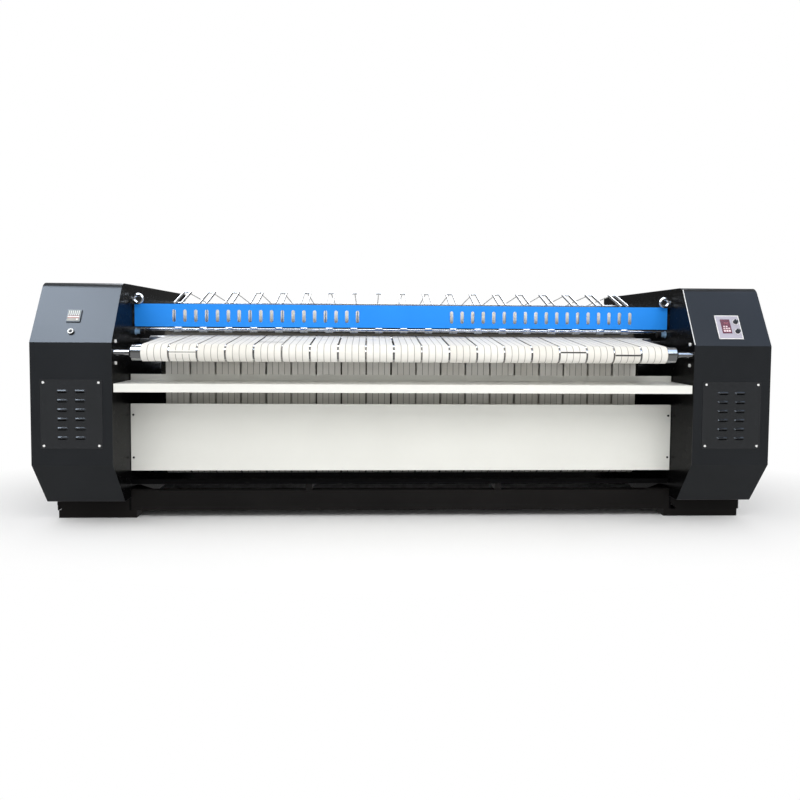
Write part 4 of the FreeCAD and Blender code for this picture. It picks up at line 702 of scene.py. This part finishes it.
# Pale printed border round the control plate: low, high, left and right band.
rim = {"left": leftEdge("control_plate"), "rise": 44.5, "width": 144.0, "height": 157.0, "band": 5.0,
       "top": 2.0, "thick": 0.9, "soften": 0.3}
for word, x, rise, width, height in (("Low", 0, 0, 1, 0), ("High", 0, 1, 1, 0), ("Left", 0, 0, 0, 1),
                                     ("Right", 1, 0, 0, 1)):
    inWidth, inHeight = rim["width"] - rim["band"], rim["height"] - rim["band"]
    slopePlate("panelRim" + word, rim["left"] + x * inWidth, rim["rise"] + rise * inHeight,
               rim["band"] + width * inWidth, rim["band"] + height * inHeight, rim["top"],
               rim["thick"], "frame", inkWhite, rim["soften"])

# The cut edge of the right cabinet's sheet, along the inner side of its slope, drawn as a pale strip: a
# painted highlight where that edge catches the light; the left cabinet has none.
edgeHighlight = {"x": 1660.4, "rise": 6, "width": 4.5, "length": 372, "out": 0.05, "thick": 0.7,
            "soften": 0.2}
slopePlate("slopeEdgeTrim", edgeHighlight["x"], edgeHighlight["rise"], edgeHighlight["width"], edgeHighlight["length"],
           edgeHighlight["out"], edgeHighlight["thick"], "frame", glintNickel, edgeHighlight["soften"])

# Knobs: a pointer mark on the cap, which turns with it, and a printed ring on the plate round it.
knobs = {"rise": {"speed": 157.0, "selector": 94.5}, "markStart": 3, "markWidth": 2, "markLength": 8,
         "cap": 21.3, "markThick": 0.3, "soften": 0.1,
         "ring": [(15.0, 2.0, 0), (18.0, 2.0, 0), (18.0, 2.7, 0), (15.0, 2.7, 0)]}
for word, rise in knobs["rise"].items():
    x = middleOf(word + "_knob")[0]
    slopePlate(word + "KnobMark", x - knobs["markWidth"] / 2, rise + knobs["markStart"],
               knobs["markWidth"], knobs["markLength"], knobs["cap"], knobs["markThick"],
               word + "_knob_body", inkWhite, knobs["soften"])
    slopeRing(word + "KnobRing", x, rise, knobs["ring"], "frame", inkWhite)
print("control pieces made")

# ---- cover screws on the outer sides and the rear doors: a shallow dome with a hexagon socket
# Profile: radius and height as parts of the head's. Places: y and z on a side, heights on a door.
covers = {"radius": 0.0085, "dome": 0.0016, "socket": 0.0034, "deep": 0.0012, "around": 24,
          "profile": [(1.0, -0.0002), (0.94, 0.45), (0.75, 0.8), (0.5, 0.97)],
          "sideSpots": [(-0.72, 0.43), (-0.72, 0.74), (-0.72, 1.04), (-0.55, 1.36), (-0.05, 1.375),
                        (0.42, 1.375), (0.775, 1.36), (0.775, 0.98), (0.775, 0.57), (0.775, 0.16),
                        (0.42, 0.16), (-0.05, 0.16), (-0.54, 0.16)],
          "doorEdge": 0.03, "doorRows": [0.16, 0.46, 0.77, 1.08, 1.382], "sunk": 0.00002,
          "turn": 60, "seed": 5}
outerSide = round(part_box("side_covers")[1][0], 4)
innerSide = round(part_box("cabinet_wrap_right")[0][0], 4)
doorFace = round(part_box("rear_doors")[1][1], 4) - covers["sunk"]


def screwHead(name):
    shape = bmesh.new()
    angles = [2 * math.pi * k / covers["around"] for k in range(covers["around"])]
    rings = [[(covers["radius"] * radius, covers["dome"] * height) for angle in angles]
             for radius, height in covers["profile"]]
    flat = covers["socket"] * math.cos(math.pi / 6)  # from the middle to a flat of the hexagon
    for height in (covers["dome"], covers["dome"] - covers["deep"]):
        rings.append([(flat / math.cos(angle % (math.pi / 3) - math.pi / 6), height)
                      for angle in angles])
    rings = [[shape.verts.new((reach * math.cos(angle), reach * math.sin(angle), height))
              for angle, (reach, height) in zip(angles, ring)] for ring in rings]
    for low, high in zip(rings, rings[1:]):
        joinRings(shape, low, high)
    shape.faces.new(rings[-1])
    shape.faces.new(rings[0][::-1])
    return meshFrom(shape, name)


# Sets one head on each point, standing out along facing, and turned at random by up to Turn.
def screwTree(head, facing):
    tree, given = newTree("coverScrews", [("Turn", "Float"), ("Seed", "Int")])
    source = addNode(tree, "GeometryNodeObjectInfo", {"Object": head})
    aim = addNode(tree, "FunctionNodeAlignRotationToVector", {"Vector": facing}, axis="Z")
    spin = addNode(tree, "FunctionNodeRandomValue", {2: 0.0, 3: given["Turn"], "Seed": given["Seed"]},
                   data_type="FLOAT")
    twist = addNode(tree, "ShaderNodeCombineXYZ", {"Z": spin.outputs[1]})
    turned = addNode(tree, "FunctionNodeRotateRotation", {0: aim.outputs[0], 1: twist.outputs[0]},
                     rotation_space="LOCAL")
    row = addNode(tree, "GeometryNodeInstanceOnPoints", {"Points": given["Geometry"],
                                                         "Instance": source.outputs["Geometry"],
                                                         "Rotation": turned.outputs[0]})
    finishTree(tree, row.outputs[0], coverScrew)
    return tree


head = linkObject("screwHead", screwHead("screwHead"))
doorLines = [side * x for side in (-1, 1)
             for x in (outerSide - covers["doorEdge"], innerSide + covers["doorEdge"])]
screwRows = {"coverScrewsLeft": ((-1, 0, 0), [(-outerSide, y, z) for y, z in covers["sideSpots"]]),
             "coverScrewsRight": ((1, 0, 0), [(outerSide, y, z) for y, z in covers["sideSpots"]]),
             "doorScrews": ((0, 1, 0), [(x, doorFace, z) for x in doorLines
                                        for z in covers["doorRows"]])}
for name, (facing, spots) in screwRows.items():
    points = bpy.data.meshes.new(name + "Points")
    points.from_pydata(spots, [], [])
    bakeTree(name, points, screwTree(head, facing),
             {"Turn": math.radians(covers["turn"]), "Seed": covers["seed"]}, "frame")
bpy.data.objects.remove(head)
print("cover screws set on", sum(len(spots) for facing, spots in screwRows.values()), "points")

# ---- floor, light and camera

# Pale matt studio floor. It is lit near the machine, where the shadow lies, and pure white further
# off. In gloss it is dim everywhere, as in a studio with a dark front.
ground = {"colour": "F4F4F4", "roughness": 0.9, "level": 0.1, "reach": 40, "squeeze": (0.4, 0.85, 1),
          "nearEnd": 0.8, "farStart": 1.5, "inGloss": 0.3}


def studioFloor():
    material, tree, place = startMaterial("paleStudioFloor")
    matt = addNode(tree, "ShaderNodeBsdfPrincipled", {"Base Color": hexColour(ground["colour"]),
                                                      "Roughness": ground["roughness"],
                                                      "Specular IOR Level": ground["level"]})
    squeezed = addNode(tree, "ShaderNodeMapping", {"Vector": place, "Scale": ground["squeeze"]})
    distance = addNode(tree, "ShaderNodeVectorMath", {0: squeezed.outputs[0]}, operation="LENGTH")
    fade = addNode(tree, "ShaderNodeMapRange", {"Value": distance.outputs["Value"],
                                                "From Min": ground["nearEnd"],
                                                "From Max": ground["farStart"]})
    rays = addNode(tree, "ShaderNodeLightPath").outputs
    farOff = addNode(tree, "ShaderNodeMath", {0: fade.outputs[0], 1: rays["Is Glossy Ray"]},
                     operation="MAXIMUM")
    glow = addNode(tree, "ShaderNodeMapRange", {"Value": rays["Is Glossy Ray"], "To Min": 1.0,
                                                "To Max": ground["inGloss"]})
    white = addNode(tree, "ShaderNodeEmission", {"Strength": glow.outputs[0]})
    faded = addNode(tree, "ShaderNodeMixShader", {0: farOff.outputs[0], 1: matt.outputs[0],
                                                  2: white.outputs[0]})
    seen = addNode(tree, "ShaderNodeMath", {0: rays["Is Camera Ray"], 1: rays["Is Glossy Ray"]},
                   operation="MAXIMUM")
    chosen = addNode(tree, "ShaderNodeMixShader", {0: seen.outputs[0], 1: matt.outputs[0],
                                                   2: faded.outputs[0]})
    addNode(tree, "ShaderNodeOutputMaterial", {"Surface": chosen.outputs[0]})
    return material


far = ground["reach"]
floorMesh = meshFrom(shapeOf([(-far, -far, 0), (far, -far, 0), (far, far, 0), (-far, far, 0)],
                             [(0, 1, 2, 3)]), "floor")
floorMesh.materials.append(studioFloor())
linkObject("floor", floorMesh)

# The room is white, but in gloss it is dim low down in front, and clears upwards and to the rear.
studio = {"roomLevel": 0.8, "lowLevel": 0.15, "highLevel": 0.45, "clearFrom": 0.45, "clearTo": 0.8,
          "rearLevel": 0.2, "rearFrom": 0.3, "rearTo": 0.8}


def studioRoom():
    world = bpy.data.worlds.new("studio")
    world.use_nodes = True
    tree = world.node_tree
    tree.nodes.clear()
    place = addNode(tree, "ShaderNodeTexCoord").outputs["Generated"]
    towards = addNode(tree, "ShaderNodeSeparateXYZ", {0: place})
    raised = addNode(tree, "ShaderNodeMapRange", {"Value": towards.outputs["Z"],
                                                  "From Min": studio["clearFrom"],
                                                  "From Max": studio["clearTo"],
                                                  "To Min": studio["lowLevel"],
                                                  "To Max": studio["highLevel"]})
    behind = addNode(tree, "ShaderNodeMapRange", {"Value": towards.outputs["Y"],
                                                  "From Min": studio["rearFrom"],
                                                  "From Max": studio["rearTo"],
                                                  "To Min": studio["lowLevel"],
                                                  "To Max": studio["rearLevel"]})
    clear = addNode(tree, "ShaderNodeMath", {0: raised.outputs[0], 1: behind.outputs[0]},
                    operation="MAXIMUM")
    rays = addNode(tree, "ShaderNodeLightPath").outputs
    level = addNode(tree, "ShaderNodeMix", {"Factor": rays["Is Glossy Ray"], 2: 1.0,
                                            3: clear.outputs[0]}, data_type="FLOAT")
    direct = addNode(tree, "ShaderNodeMath", {0: rays["Is Camera Ray"], 1: rays["Is Glossy Ray"]},
                     operation="MAXIMUM")
    through = addNode(tree, "ShaderNodeMath", {0: direct.outputs[0], 1: rays["Is Transmission Ray"]},
                      operation="MAXIMUM")
    room = addNode(tree, "ShaderNodeBackground", {"Color": (1, 1, 1, 1),
                                                  "Strength": studio["roomLevel"]})
    backdrop = addNode(tree, "ShaderNodeBackground", {"Color": (1, 1, 1, 1),
                                                      "Strength": level.outputs[0]})
    chosen = addNode(tree, "ShaderNodeMixShader", {0: through.outputs[0], 1: room.outputs[0],
                                                   2: backdrop.outputs[0]})
    addNode(tree, "ShaderNodeOutputWorld", {"Surface": chosen.outputs[0]})
    return world


bpy.context.scene.world = studioRoom()

# Soft boxes. The key and the fill light the machine. The panels light nothing that is matt: they
# only show in the gloss of the slopes and the drum.
lamps = {"key": {"at": (-3.2, -2.4, 4.0), "aim": (-1.5, -0.7, 1.2), "size": (2.6, 1.8), "power": 38},
         "fill": {"at": (1.0, -4.0, 3.5), "aim": (0.2, 0, 0.7), "size": (4.0, 2.0), "power": 97},
         "leftPanel": {"at": (-3.02, -2.15, 3.60), "aim": (-1.886, -0.7, 1.24), "size": (3.0, 1.6),
                       "power": 290, "colour": "CFE0F5"},
         "rightPanel": {"at": (3.26, -2.10, 3.51), "aim": (1.886, -0.7, 1.24), "size": (3.2, 2.4),
                        "power": 52, "colour": "B4CEF5"},
         "rearPanel": {"at": (0, 2.0, 3.9), "aim": (0, 0.03, 1.24), "size": (6.0, 2.6),
                       "power": 360, "colour": "F4F8FF"}}
for name, lamp in lamps.items():
    data = bpy.data.lights.new(name, "AREA")
    data.shape = "RECTANGLE"
    data.size, data.size_y = lamp["size"]
    data.energy = lamp["power"]
    light = linkObject(name, data)
    light.location = lamp["at"]
    towards = Vector(lamp["aim"]) - Vector(lamp["at"])
    light.rotation_euler = towards.to_track_quat("-Z", "Y").to_euler()
    if "colour" in lamp:
        data.color = hexColour(lamp["colour"])[:3]
        light.visible_diffuse = False

# Camera: its place, its turns in radians (to the right, down, and its right side up), lens in mm.
shot = {"at": (-0.2169, -4.7788, 1.1631), "yaw": 0.0375, "pitch": 0.0494, "roll": 0.0065,
        "lens": 31.631, "sensor": 36, "shiftX": 0.0053, "shiftY": -0.0464}


def shotAxes(yaw, pitch, roll):
    level = Vector((math.sin(yaw), math.cos(yaw), 0))
    side = Vector((math.cos(yaw), -math.sin(yaw), 0))
    up = Vector((0, 0, 1))
    ahead = level * math.cos(pitch) - up * math.sin(pitch)
    above = up * math.cos(pitch) + level * math.sin(pitch)
    right = side * math.cos(roll) + above * math.sin(roll)
    over = above * math.cos(roll) - side * math.sin(roll)
    return Matrix((right, over, -ahead)).transposed().to_4x4()


lens = bpy.data.cameras.new("shot")
lens.lens = shot["lens"]
lens.sensor_width = shot["sensor"]
lens.shift_x = shot["shiftX"]
lens.shift_y = shot["shiftY"]
camera = linkObject("shot", lens)
camera.matrix_world = Matrix.Translation(shot["at"]) @ shotAxes(shot["yaw"], shot["pitch"], shot["roll"])
bpy.context.scene.camera = camera
bpy.context.scene.view_settings.view_transform = "Standard"
print("camera and light set")
